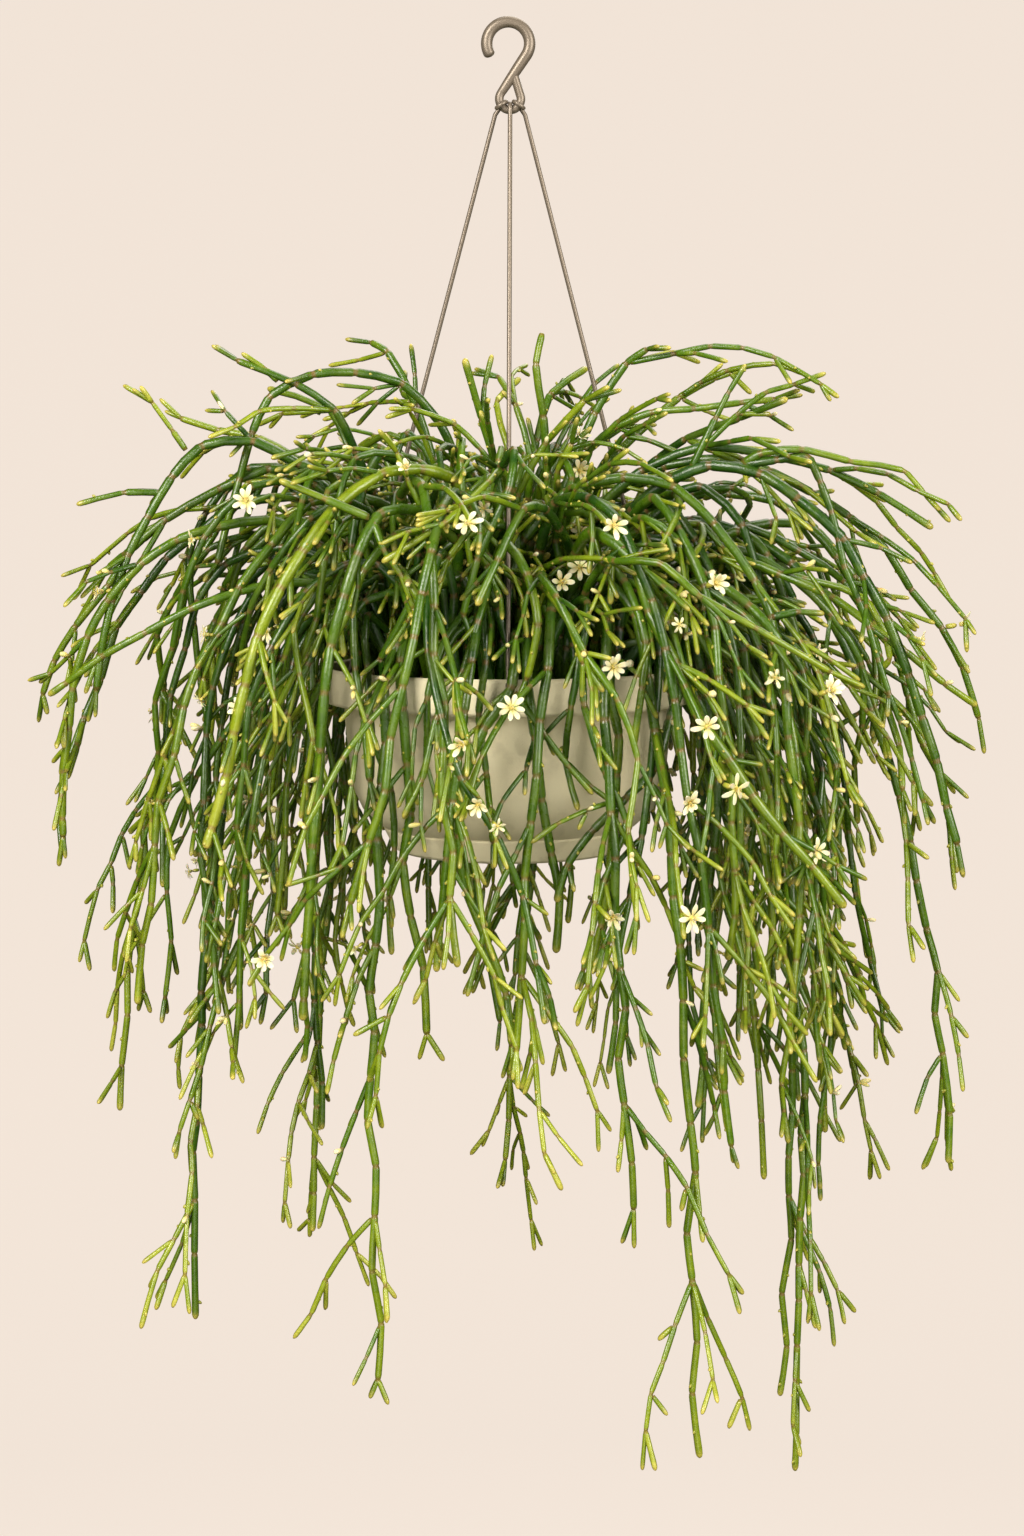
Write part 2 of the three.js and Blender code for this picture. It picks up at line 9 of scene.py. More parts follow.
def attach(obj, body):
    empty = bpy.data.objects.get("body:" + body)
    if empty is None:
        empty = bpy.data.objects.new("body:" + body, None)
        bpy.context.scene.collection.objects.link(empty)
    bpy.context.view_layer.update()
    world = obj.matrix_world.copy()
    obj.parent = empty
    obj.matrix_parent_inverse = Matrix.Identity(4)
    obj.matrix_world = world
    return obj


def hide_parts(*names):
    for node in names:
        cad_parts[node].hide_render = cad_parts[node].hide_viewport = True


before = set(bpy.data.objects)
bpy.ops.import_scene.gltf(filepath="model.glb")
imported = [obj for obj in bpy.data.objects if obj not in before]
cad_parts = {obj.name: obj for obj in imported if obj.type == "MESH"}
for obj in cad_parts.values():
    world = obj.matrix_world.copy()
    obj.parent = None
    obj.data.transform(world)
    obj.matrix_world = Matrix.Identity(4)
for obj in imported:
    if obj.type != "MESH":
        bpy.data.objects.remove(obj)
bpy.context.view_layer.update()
print("frame loaded:", len(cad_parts), "nodes")

scene = bpy.context.scene
mm = 0.001  # the plant is worked out in millimetres and made in metres
degrees = math.pi / 180
fullTurn = 2 * math.pi
hair = 1e-6  # a hair's breadth, too little to count


def turnedTo(place, aim):  # how a camera or a lamp at place turns to look at aim
    return (Vector(aim) - Vector(place)).to_track_quat("-Z", "Y").to_euler()


view = {
    "lens": 65, "sensor": 36, "distance": 1.47, "height": -0.225, "aim": (0.002, 0, -0.293),
    "shift": -0.12,
}
cameraData = bpy.data.cameras.new("camera")
cameraData.lens = view["lens"]
cameraData.sensor_width = view["sensor"]
cameraData.shift_y = view["shift"]
camera = bpy.data.objects.new("camera", cameraData)
camera.location = (view["aim"][0], -view["distance"], view["height"])
camera.rotation_euler = turnedTo(camera.location, view["aim"])
scene.collection.objects.link(camera)
scene.camera = camera


def plus(a, b):
    return (a[0] + b[0], a[1] + b[1], a[2] + b[2])


def minus(a, b):
    return (a[0] - b[0], a[1] - b[1], a[2] - b[2])


def times(a, k):
    return (a[0] * k, a[1] * k, a[2] * k)


def dot(a, b):
    return a[0] * b[0] + a[1] * b[1] + a[2] * b[2]


def cross(a, b):
    return (a[1] * b[2] - a[2] * b[1], a[2] * b[0] - a[0] * b[2], a[0] * b[1] - a[1] * b[0])


def size(a):
    return math.sqrt(dot(a, a))


def unit(a):
    return times(a, 1 / size(a))


def blend(a, b, k):
    return a + (b - a) * k


def outward(angle):
    return (math.cos(angle), math.sin(angle), 0)


def headingOf(place):  # the angle round the bowl's axis
    return math.atan2(place[1], place[0])


def farOut(place):  # the distance from the bowl's axis
    return math.hypot(place[0], place[1])


def atHeight(place, z):
    return (place[0], place[1], z)


def plain(place):  # a row of an array as an ordinary place
    return tuple(float(c) for c in place)


def alongAt(points, joint):  # the way that a stem runs through one of its joints
    return unit(minus(points[joint + 1], points[joint - 1]))


def seededDraw(seed):
    factor, top = 16807, 2147483647
    state = seed

    def draw(low=0, high=1):
        nonlocal state
        state = (state * factor) % top
        return low + (high - low) * (state / top)

    return draw


def either(spread):  # a draw of up to spread to either side
    return draw(-spread, spread)


def pick(items):
    return items[int(draw(0, len(items) - hair))]


def finished(name, mesh, material, nodes=()):
    mesh.name = name
    mesh.materials.clear()
    mesh.materials.append(material)
    piece = bpy.data.objects.new(name, mesh)
    scene.collection.objects.link(piece)
    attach(piece, "root")
    if nodes:
        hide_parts(*nodes)


def meshOf(bm, name, smooth=True):
    mesh = bpy.data.meshes.new(name)
    bm.to_mesh(mesh)
    bm.free()
    mesh.polygons.foreach_set("use_smooth", [smooth] * len(mesh.polygons))
    return mesh


def evaluatedMesh(source):
    scene.collection.objects.link(source)
    depsgraph = bpy.context.evaluated_depsgraph_get()
    mesh = bpy.data.meshes.new_from_object(source.evaluated_get(depsgraph))
    bpy.data.objects.remove(source)
    return mesh


def addPath(curve, rows):  # rows of x, y, z and radius in millimetres, as one open line
    spline = curve.splines.new("POLY")
    spline.points.add(len(rows) - 1)
    places = np.concatenate([rows[:, :3] * mm, np.ones((len(rows), 1))], axis=1)
    spline.points.foreach_set("co", places.ravel())
    spline.points.foreach_set("radius", rows[:, 3] * mm)


def spun(row, steps):  # a row of radius and height, turned once round
    bm = bmesh.new()
    verts = [bm.verts.new((radius, 0, z)) for radius, z in row]
    edges = [bm.edges.new(pair) for pair in zip(verts, verts[1:])]
    bmesh.ops.spin(
        bm, geom=verts + edges, cent=(0, 0, 0), axis=(0, 0, 1), dvec=(0, 0, 0),
        angle=fullTurn, steps=steps, use_merge=True, use_duplicate=False,
    )
    return bm


# shader groups that several finishes share
def newGroup(name, inputs, output):  # an input without a number is a vector
    group = bpy.data.node_groups.new(name, "ShaderNodeTree")
    for label, value in inputs.items():
        kind = "NodeSocketVector" if value is None else "NodeSocketFloat"
        socket = group.interface.new_socket(name=label, in_out="INPUT", socket_type=kind)
        if value is not None:
            socket.default_value = value
    group.interface.new_socket(name=output, in_out="OUTPUT", socket_type="NodeSocketFloat")
    return group, group.nodes.new("NodeGroupInput"), group.nodes.new("NodeGroupOutput")


def setInputs(node, values):
    for label, value in values.items():
        node.inputs[label].default_value = value


def mottleGroup():  # soft patches, spread between a low and a high value
    inputs = {"Vector": None, "Scale": 100, "Detail": 3, "Low": 0, "High": 1}
    group, start, end = newGroup("softMottle", inputs, "Value")
    patches = group.nodes.new("ShaderNodeTexNoise")
    spread = group.nodes.new("ShaderNodeMapRange")
    setInputs(spread, {"From Min": 0.34, "From Max": 0.66})  # most of the noise lies between
    link = group.links.new
    for label in ("Vector", "Scale", "Detail"):
        link(start.outputs[label], patches.inputs[label])
    link(patches.outputs["Fac"], spread.inputs["Value"])
    link(start.outputs["Low"], spread.inputs["To Min"])
    link(start.outputs["High"], spread.inputs["To Max"])
    link(spread.outputs["Result"], end.inputs["Value"])
    return group


def speckGroup():  # small separate specks, 1 inside them and 0 between
    inputs = {"Vector": None, "Scale": 400, "Size": 0.2}
    group, start, end = newGroup("smallSpecks", inputs, "Mask")
    cells = group.nodes.new("ShaderNodeTexVoronoi")
    edge = group.nodes.new("ShaderNodeMapRange")
    setInputs(edge, {"From Min": 0, "To Min": 1, "To Max": 0})
    link = group.links.new
    for label in ("Vector", "Scale"):
        link(start.outputs[label], cells.inputs[label])
    link(cells.outputs["Distance"], edge.inputs["Value"])
    link(start.outputs["Size"], edge.inputs["From Max"])
    link(edge.outputs["Result"], end.inputs["Mask"])
    return group


softMottle = mottleGroup()
smallSpecks = speckGroup()


def newMaterial(name, constants):
    material = bpy.data.materials.new(name)
    material.use_nodes = True
    tree = material.node_tree
    tree.nodes.new("ShaderNodeTexCoord").name = "place"
    setInputs(tree.nodes["Principled BSDF"], constants)
    return material, tree


def placed(tree, group, values):  # a shared group on the piece's own coordinates
    node = tree.nodes.new("ShaderNodeGroup")
    node.node_tree = group
    tree.links.new(tree.nodes["place"].outputs["Object"], node.inputs["Vector"])
    setInputs(node, values)
    return node.outputs[0]


def mottle(tree, scale, detail, low=0, high=1):
    return placed(tree, softMottle, {"Scale": scale, "Detail": detail, "Low": low, "High": high})


def specks(tree, scale, width):
    return placed(tree, smallSpecks, {"Scale": scale, "Size": width})


def ramp(tree, factor, places, colours):
    node = tree.nodes.new("ShaderNodeValToRGB")
    elements = node.color_ramp.elements
    while len(elements) < len(places):
        elements.new(0.5)
    for element, place, colour in zip(elements, places, colours):
        element.position = place
        element.color = (*colour, 1)
    tree.links.new(factor, node.inputs["Fac"])
    return node.outputs["Color"]


def mixColour(tree, factor, first, second):  # each a colour or another node's output
    node = tree.nodes.new("ShaderNodeMix")
    node.data_type = "RGBA"
    tree.links.new(factor, node.inputs["Factor"])
    for side, value in (("A", first), ("B", second)):
        socket = [s for s in node.inputs if s.name == side and s.type == "RGBA"][0]
        if isinstance(value, tuple):
            socket.default_value = (*value, 1)
        else:
            tree.links.new(value, socket)
    return [s for s in node.outputs if s.type == "RGBA"][0]


def calc(tree, operation, first, second, clamp=False):
    node = tree.nodes.new("ShaderNodeMath")
    node.operation = operation
    node.use_clamp = clamp
    for socket, value in zip(node.inputs, (first, second)):
        if isinstance(value, (int, float)):
            socket.default_value = value
        else:
            tree.links.new(value, socket)
    return node.outputs[0]


def attribute(tree, name):
    node = tree.nodes.new("ShaderNodeAttribute")
    node.attribute_name = name
    return node.outputs["Fac"]


def dress(tree, colour, roughness=None, height=None, bump=None):
    shader = tree.nodes["Principled BSDF"]
    tree.links.new(colour, shader.inputs["Base Color"])
    if roughness is not None:
        tree.links.new(roughness, shader.inputs["Roughness"])
    if height is not None:
        node = tree.nodes.new("ShaderNodeBump")
        strength, depth = bump
        setInputs(node, {"Strength": strength, "Distance": depth})
        tree.links.new(height, node.inputs["Height"])
        tree.links.new(node.outputs["Normal"], shader.inputs["Normal"])


# finishes: a mottle is its scale, detail, low and high, specks are their scale and width, and a
# bump is its strength and depth
stemLook = {
    "shader": {"Specular IOR Level": 0.60}, "greenPlaces": (0, 0.36, 0.74, 1),
    "greens": [(0.014, 0.056, 0.002), (0.064, 0.138, 0.002), (0.218, 0.280, 0.007),
               (0.410, 0.425, 0.048)],
    "collar": (0.215, 0.100, 0.040), "tip": (0.580, 0.460, 0.090), "hazy": (0.150, 0.205, 0.022),
    "patches": (120, 4, -0.10, 0.10), "toneShare": 0.22, "haze": (55, 5, -0.35, 0.28),
    "specks": (620, 0.24), "speckShare": 0.09, "uneven": (700, 2, 0.55, 1),
    "collarBand": {"From Min": 0.1, "From Max": 0.85, "To Max": 0.70},
    "gloss": (260, 3, 0.24, 0.36), "pores": (900, 4), "bump": (0.25, 0.0003),
}


def stemSkinMaterial(look):
    material, tree = newMaterial("stemSkin", look["shader"])
    age = calc(tree, "ADD", attribute(tree, "youth"), mottle(tree, *look["patches"]))
    tone = calc(tree, "MULTIPLY", attribute(tree, "tone"), look["toneShare"])
    age = calc(tree, "ADD", age, tone, clamp=True)
    greens = ramp(tree, age, look["greenPlaces"], look["greens"])
    haze = calc(tree, "MAXIMUM", mottle(tree, *look["haze"]), 0)
    colour = mixColour(tree, haze, greens, look["hazy"])
    pale = calc(tree, "MULTIPLY", specks(tree, *look["specks"]), look["speckShare"])
    colour = mixColour(tree, pale, colour, look["greens"][-1])
    uneven = mottle(tree, *look["uneven"])
    band = tree.nodes.new("ShaderNodeMapRange")
    band.interpolation_type = "SMOOTHSTEP"
    setInputs(band, look["collarBand"])
    tree.links.new(attribute(tree, "collar"), band.inputs["Value"])
    collar = calc(tree, "MULTIPLY", band.outputs["Result"], uneven, clamp=True)
    colour = mixColour(tree, collar, colour, look["collar"])
    tip = calc(tree, "MULTIPLY", attribute(tree, "tip"), uneven, clamp=True)
    colour = mixColour(tree, tip, colour, look["tip"])
    dress(tree, colour, mottle(tree, *look["gloss"]), mottle(tree, *look["pores"]), look["bump"])
    return material


bowlLook = {
    "shader": {"Specular IOR Level": 0.4}, "body": (0.865, 0.785, 0.530),
    "shade": (0.805, 0.715, 0.465), "mark": (0.500, 0.425, 0.240), "clouds": (22, 6),
    "grit": (420, 0.16), "gritShare": 0.35, "splash": (60, 7, -1.6, 0.7), "splashShare": 0.45,
    "gloss": (90, 4, 0.50, 0.66), "grain": (1400, 3), "bump": (0.25, 0.0002),
}


def bowlPlasticMaterial(look):
    material, tree = newMaterial("bowlPlastic", look["shader"])
    colour = mixColour(tree, mottle(tree, *look["clouds"]), look["body"], look["shade"])
    grit = calc(tree, "MULTIPLY", specks(tree, *look["grit"]), look["gritShare"])
    colour = mixColour(tree, grit, colour, look["mark"])
    splash = calc(tree, "MAXIMUM", mottle(tree, *look["splash"]), 0)
    splash = calc(tree, "MULTIPLY", splash, look["splashShare"])
    colour = mixColour(tree, splash, colour, look["mark"])
    dress(tree, colour, mottle(tree, *look["gloss"]), mottle(tree, *look["grain"]), look["bump"])
    return material


steelLook = {
    "shader": {"Metallic": 0.4}, "light": (0.200, 0.161, 0.121), "dark": (0.180, 0.145, 0.109),
    "cloud": (14, 1), "gloss": (45, 1, 0.38, 0.42),
}


def satinSteelMaterial(look):
    material, tree = newMaterial("satinSteel", look["shader"])
    colour = mixColour(tree, mottle(tree, *look["cloud"]), look["light"], look["dark"])
    dress(tree, colour, mottle(tree, *look["gloss"]))
    return material


soilLook = {
    "shader": {"Specular IOR Level": 0.2}, "dark": (0.012, 0.008, 0.005),
    "light": (0.070, 0.043, 0.026), "fleck": (0.20, 0.15, 0.10), "clods": (260, 8),
    "flecks": (330, 0.22), "wet": (80, 2, 0.75, 0.98), "bump": (0.8, 0.001),
}


def pottingSoilMaterial(look):
    material, tree = newMaterial("pottingSoil", look["shader"])
    clods = mottle(tree, *look["clods"])
    colour = mixColour(tree, clods, look["dark"], look["light"])
    colour = mixColour(tree, specks(tree, *look["flecks"]), colour, look["fleck"])
    dress(tree, colour, mottle(tree, *look["wet"]), clods, look["bump"])
    return material


petalLook = {
    "shader": {"Subsurface Weight": 0.15, "Subsurface Scale": 0.002},
    "places": (0, 0.28, 0.62, 1),  # from the heart and the throat to the blade and its edge
    "colours": [(0.600, 0.440, 0.060), (0.700, 0.620, 0.200), (0.800, 0.715, 0.420),
                (0.850, 0.780, 0.540)],
    "veins": (900, 3, -0.08, 0.08), "gloss": (500, 2, 0.42, 0.6), "bump": (0.5, 0.0002),
}


def bloomPetalMaterial(look):
    material, tree = newMaterial("bloomPetal", look["shader"])
    veins = mottle(tree, *look["veins"])
    reach = calc(tree, "ADD", attribute(tree, "reach"), veins, clamp=True)
    colour = ramp(tree, reach, look["places"], look["colours"])
    dress(tree, colour, mottle(tree, *look["gloss"]), veins, look["bump"])
    return material


stemSkin = stemSkinMaterial(stemLook)
bowlPlastic = bowlPlasticMaterial(bowlLook)
satinSteel = satinSteelMaterial(steelLook)
pottingSoil = pottingSoilMaterial(soilLook)
bloomPetal = bloomPetalMaterial(petalLook)
print("finishes made")

# how the plant grows, as its solids do
growth = {
    "seed": 4127, "gap": 0.35, "clearance": 0.45, "rimZ": -336, "soilDepth": 11, "soilEdge": 94,
    "soilBand": 30, "guardStep": 4, "clumps": 24, "frondsPerClump": 2, "goldenTurn": 137.508,
    "firstTurn": 31, "firstRing": 0.35, "footRadius": 5, "footFree": 3, "footDepth": 13,
    "footHeight": 6, "footRing": 79, "reachLimit": 244, "lowLimit": -769, "frontLift": 0.37,
    "highLimit": -158, "tipBulge": 0.7, "sag": 11, "sagPower": 1.5, "fingerReach": 252,
    "fingerLow": -776,
}
thickness = {"base": 3.6, "end": 2.3, "twig": 2.2, "neck": 1.5, "tip": 1.6}
owners = {"blooms": 1000, "furtherBlooms": 3000, "trails": 5000, "nobody": -50}
rimZ = growth["rimZ"]
soilZ = rimZ - growth["soilDepth"]

# radius and depth below the rim, round from the underside to the inner floor
bowlProfile = [
    (0, 96.5), (50, 96.5), (51, 98), (58.5, 98), (61, 96.6), (66.3, 86.2), (65.8, 85.2),
    (68.3, 84), (77.5, 75.5), (81.8, 66), (84.3, 51), (86.6, 30), (87, 19.5), (96.8, 19),
    (98, 17.5), (98.6, 2), (97.2, 0), (95.4, 0.8), (94.6, 16), (84, 17), (81, 52),
    (72.5, 74), (57, 93.5), (0, 93.5),
]
rimOutside, rimInside, guardEnd = 15, 17, 19  # its rows at the rim, and the last that stems meet
guard = np.array([(radius, rimZ - depth) for radius, depth in bowlProfile[:guardEnd]], float)

mostTaken = 40000
taken = {
    "count": 0, "start": np.zeros((mostTaken, 3)), "span": np.zeros((mostTaken, 3)),
    "radius": np.zeros(mostTaken), "owner": np.zeros(mostTaken, int),
}


def take(points, radii, owner):
    for i in range(len(points) - 1):
        n = taken["count"]
        taken["start"][n] = points[i]
        taken["span"][n] = minus(points[i + 1], points[i])
        taken["radius"][n] = max(radii[i], radii[i + 1])
        taken["owner"][n] = owner
        taken["count"] = n + 1


def touching(a, b, radius, owner, room):  # how many stems taken so far stand closer than room
    n = taken["count"]
    none = 1e-9
    c, v = taken["start"][:n], taken["span"][:n]
    u = np.array(minus(b, a), float)
    w = np.array(a, float) - c
    uu = float(u @ u)
    vv = np.einsum("ij,ij->i", v, v)
    uv = v @ u
    uw = w @ u
    vw = np.einsum("ij,ij->i", v, w)
    det = uu * vv - uv * uv
    s = np.where(det > none, np.clip((uv * vw - vv * uw) / np.maximum(det, none), 0, 1), 0)
    t = np.clip(np.where(vv > none, (uv * s + vw) / np.maximum(vv, none), 0), 0, 1)
    if uu > none:
        s = np.clip((uv * t - uw) / uu, 0, 1)
    apart = np.linalg.norm(w + s[:, None] * u - t[:, None] * v, axis=1)
    near = apart <= radius + taken["radius"][:n] + room
    return int(np.count_nonzero(near & (taken["owner"][:n] != owner)))


def bowlClear(places, radius):
    rho = np.hypot(places[:, 0], places[:, 1])
    z = places[:, 2]
    level = soilZ + radius + growth["clearance"]
    if np.any((rho < growth["soilEdge"]) & (z > rimZ - growth["soilBand"]) & (z < level)):
        return False
    start, span = guard[:-1], guard[1:] - guard[:-1]
    spot = np.stack([rho, z], axis=1)[:, None, :] - start
    t = np.clip((spot * span).sum(2) / (span * span).sum(1), 0, 1)
    apart = np.linalg.norm(spot - t[:, :, None] * span, axis=2)
    return bool(apart.min() >= radius + 2 * growth["clearance"])


def stemHits(points, radii, owner, rooted, room, most=0):
    hits = 0
    for i in range(len(points) - 1):
        radius = max(radii[i], radii[i + 1])
        hits += touching(points[i], points[i + 1], radius, owner, room)
        if hits > most:
            return hits
        span = minus(points[i + 1], points[i])
        count = math.ceil(size(span) / growth["guardStep"])
        places = [plus(points[i], times(span, j / count)) for j in range(count + 1)]
        if rooted:
            near = growth["footRadius"] + growth["footFree"]
            places = [p for p in places if size(minus(p, points[0])) >= near]
        if places and not bowlClear(np.array(places, float), radius):
            return math.inf
    return hits


def stemClear(points, radii, owner, rooted):
    return stemHits(points, radii, owner, rooted, growth["clearance"]) == 0


def stemOf(kind, points, radii, youth, **more):
    return {"kind": kind, "points": points, "radii": radii, "youth": youth, **more}


clumps = []


def placeClumps():
    for i in range(growth["clumps"]):
        radius = growth["footRing"] * math.sqrt((i + growth["firstRing"]) / growth["clumps"])
        turn = (i * growth["goldenTurn"] + growth["firstTurn"]) * degrees
        place = times(outward(turn), radius)
        clumps.append({"owner": i, "place": place, "room": growth["frondsPerClump"], "stems": []})


def clumpFor(heading, ring):
    wish = times(outward(heading), ring)
    return min((c for c in clumps if c["room"] > 0), key=lambda c: size(minus(c["place"], wish)))


# how a stem's route is drawn, and the joints' lengths: least, most and what the tip's gain
routeMake = {"steps": 200, "lastFree": 6, "own": 0.8, "crest": 0.2, "start": 3, "upStray": 0.75}
frond = {
    "joints": (46, 60, 22), "firstTwig": 0.34, "spread": 0.9, "doubled": 0.75, "youth": 0.9,
    "endYouth": 0.85,
}
sideTwig = {
    "attempts": 14, "lean": (22, 44), "length": (31, 44), "vary": (0.85, 1.15), "shrink": 0.18,
    "droop": 0.3, "bend": 0.12, "inward": -0.35, "room": growth["clearance"], "most": 0,
    "radii": (thickness["twig"], thickness["tip"]),
}
endTwig = {**sideTwig, "attempts": 16, "lean": (20, 34), "length": (24, 38), "droop": 0.2}


def routeOf(start, shape, joints, stray=2):
    low, high, more = joints
    steps, tip = routeMake["steps"], shape["tip"]
    heading = headingOf(tip) - shape["swing"] * degrees
    crest = times(outward(heading), shape["reach"])
    p1 = plus(times(start, routeMake["own"]), times(crest, routeMake["crest"]))
    p1 = atHeight(p1, soilZ + shape["lifts"][0])
    p2 = atHeight(crest, soilZ + shape["lifts"][1])
    t = (np.arange(steps + 1) / steps)[:, None]
    k = 1 - t
    curve = (np.array(start) * (k * k * k) + np.array(p1) * (3 * k * k * t)
             + np.array(p2) * (3 * k * t * t) + np.array(tip) * (t * t * t))
    curve[0] = start
    run = np.concatenate([[0], np.cumsum(np.linalg.norm(np.diff(curve, axis=0), axis=1))])
    points = [start]
    following = draw(low, high)
    for i in range(1, steps + 1):
        if run[i] >= following and i < steps - routeMake["lastFree"]:
            kink = (either(stray), either(stray), either(routeMake["upStray"] * stray))
            points.append(plus(plain(curve[i]), kink))
            following += draw(low, high) + more * (i / steps)
    points.append(tip)
    return points


def taper(points, first, last):
    return [blend(first, last, i / (len(points) - 1)) for i in range(len(points))]


def perpendicular(direction, roll):
    flat = (0, 0, 1) if abs(direction[2]) < 0.9 else (1, 0, 0)
    across = unit(cross(flat, direction))
    aside = cross(direction, across)
    return plus(times(across, math.cos(roll)), times(aside, math.sin(roll)))


def twigRoute(start, direction, count, make):
    points = [start]
    heading = direction
    length = draw(*make["length"])
    for i in range(count):
        reach = length * (1 - make["shrink"] * i) * draw(*make["vary"])
        points.append(plus(points[i], times(heading, reach)))
        heading = unit(plus(heading, (either(make["bend"]), either(make["bend"]), -make["droop"])))
    return points


def withinReach(end, reach, low):
    lowest = low + growth["frontLift"] * max(0, -end[1])
    return farOut(end) < reach and lowest < end[2] < growth["highLimit"]


def growTwig(clump, start, along, count, make, youth):
    thick, thin = make["radii"]
    for _ in range(make["attempts"]):
        away = perpendicular(along, draw(0, fullTurn))
        lean = draw(*make["lean"]) * degrees
        direction = plus(times(along, math.cos(lean)), times(away, math.sin(lean)))
        points = twigRoute(start, direction, count, make)
        radii = taper(points, thick, thin)
        radii[0] = thickness["neck"] * thick / thickness["twig"]
        if not withinReach(points[-1], growth["reachLimit"], growth["lowLimit"]):
            continue
        if dot(away, outward(headingOf(start))) <= make["inward"]:
            continue
        hits = stemHits(points, radii, clump["owner"], False, make["room"], make["most"])
        if hits <= make["most"]:
            take(points, radii, clump["owner"])
            clump["stems"].append(stemOf("twig", points, radii, youth))
            return


def growMain(clump, shape, joints):
    start = atHeight(clump["place"], soilZ + routeMake["start"])
    points = routeOf(start, shape, joints)
    radii = taper(points, thickness["base"], thickness["end"])
    if not stemClear(points, radii, clump["owner"], True):
        return None
    take(points, radii, clump["owner"])
    clump["stems"].append(stemOf("main", points, radii, 0))
    clump["room"] -= 1
    return points


def growFrond(clump, shape, twigCount):
    points = growMain(clump, shape, frond["joints"])
    if not points:
        return False
    last = len(points) - 1
    firstTwig = max(2, math.floor(last * frond["firstTwig"] + 0.5))
    for i in range(twigCount):
        share = (i + draw(0, frond["spread"])) / twigCount
        joint = min(last - 1, math.floor(blend(firstTwig, last, share) + 0.5))
        count = 2 if draw() < frond["doubled"] else 3
        youth = frond["youth"] * joint / last
        growTwig(clump, points[joint], alongAt(points, joint), count, sideTwig, youth)
    along = unit(minus(points[last], points[last - 1]))
    growTwig(clump, points[last - 1], along, 1, endTwig, frond["endYouth"])
    return True


# how high a route's two middle points lie, as shares of its rise or of its tip's height
lifts = {"arching": (1.5, 1.25), "upright": (0.6, 0.95)}
sidePower = 1.5


def arching(rise):
    return tuple(share * rise for share in lifts["arching"])


def upright(tip):
    return tuple(share * (tip[2] - soilZ) for share in lifts["upright"])


def sidewaysOf(heading):  # 0 towards the front and the back, 1 to either side
    return abs(math.cos(heading)) ** sidePower


# the longest and most open stems: tip, furthest reach, rise above the soil and swing
leadFronds = [
    ((-65, -104, -686), 128, 84, 8), ((153, -14, -766), 180, 80, -10),
    ((96, -104, -726), 150, 92, 9), ((150, 40, -744), 176, 96, 12),
    ((-162, -52, -672), 180, 90, -8), ((-112, 96, -668), 160, 88, 10),
    ((-2, 150, -640), 166, 76, 12), ((4, -128, -516), 132, 70, -9),
    ((62, -118, -596), 138, 66, 12), ((231, -30, -596), 214, 104, 8),
    ((244, 30, -452), 208, 112, -10), ((246, -24, -362), 190, 118, 9),
    ((216, -60, -262), 150, 112, 10), ((-244, -20, -350), 186, 112, -10),
    ((-232, -46, -414), 200, 104, 8), ((-212, 28, -582), 208, 96, 9),
    ((-186, -90, -500), 196, 110, -9),
]
shoots = [
    (18, 20, -160), (72, -30, -170), (126, 26, -178), (-74, 34, -164), (-140, -30, -176),
    (-178, 44, -204), (140, -58, -196), (-22, -62, -176), (44, 86, -176), (-60, 110, -190),
]
# blooms by the side that they are seen from: its heading, then how far across and how high
bloomSides = [
    (-90, [
        (-85, -300), (-119, -356), (9, -224), (-11, -266), (16, -269), (31, -290), (48, -340),
        (21, -360), (-6, -378), (50, -242), (102, -288), (111, -341), (118, -400), (152, -364),
        (154, -420), (82, -384), (82, -451), (-107, -479), (-117, -236),
    ]),
    (90, [(-80, -300), (20, -262), (96, -352), (-30, -372), (124, -256)]),
    (0, [(-40, -290), (52, -372)]),
    (180, [(-48, -352), (36, -276)]),
]
leadMake = {"tries": 40, "rings": (86, 14), "lowLift": 60, "ringStray": 12, "turn": 25, "twigs": 4}
shootMake = {"tries": 30, "reach": 0.62, "turn": 40, "ring": (4, 60), "swing": 20, "twigs": 2}
restMake = {
    "tries": 400, "turn": 20, "rings": (82, 6), "ringStray": 8, "rises": (58, 122),
    "riseStray": 8, "inner": 122, "outer": (172, 214), "reachStray": 14, "shortDrop": (420, 560),
    "longDrop": (430, 740), "vary": (0.84, 1.06), "swing": 22, "sparse": 0.4, "twigs": (3, 4),
}
infill = {
    "tries": 80, "turn": 75, "joints": (66, 82, 20), "rises": (64, 124), "inner": 108,
    "outer": (150, 206), "drop": 280, "lowest": (330, 560), "sideDrop": (320, 640),
    "vary": (0.86, 1.06), "swing": 30, "twigPlace": (0.4, 0.8), "twigShare": 0.35,
    "twigYouth": 0.4,
}
infillTwig = {**sideTwig, "length": (30, 42)}
bloomSize = {
    "petal": 7.4, "height": 6, "middle": 0.8, "spur": 8, "spurRadius": 1.3, "spurYouth": 0.9,
    "search": 30, "footFree": 30, "offsetWeight": 1.5, "spots": 30, "tries": 8, "radial": 0.6,
    "aside": 0.5, "down": -0.3,
}


def growLeads():
    for tip, reach, lift, swing in leadFronds:
        heading = headingOf(tip)
        for attempt in range(leadMake["tries"]):
            ring = blend(*leadMake["rings"], (lift - leadMake["lowLift"]) / leadMake["lowLift"])
            ring += either(leadMake["ringStray"])
            clump = clumpFor(heading + either(leadMake["turn"]) * degrees, ring)
            rise = lift + either(1) * attempt
            shape = {
                "tip": tip, "reach": reach, "lifts": arching(rise),
                "swing": swing + either(1) * attempt,
            }
            if growFrond(clump, shape, leadMake["twigs"]):
                break


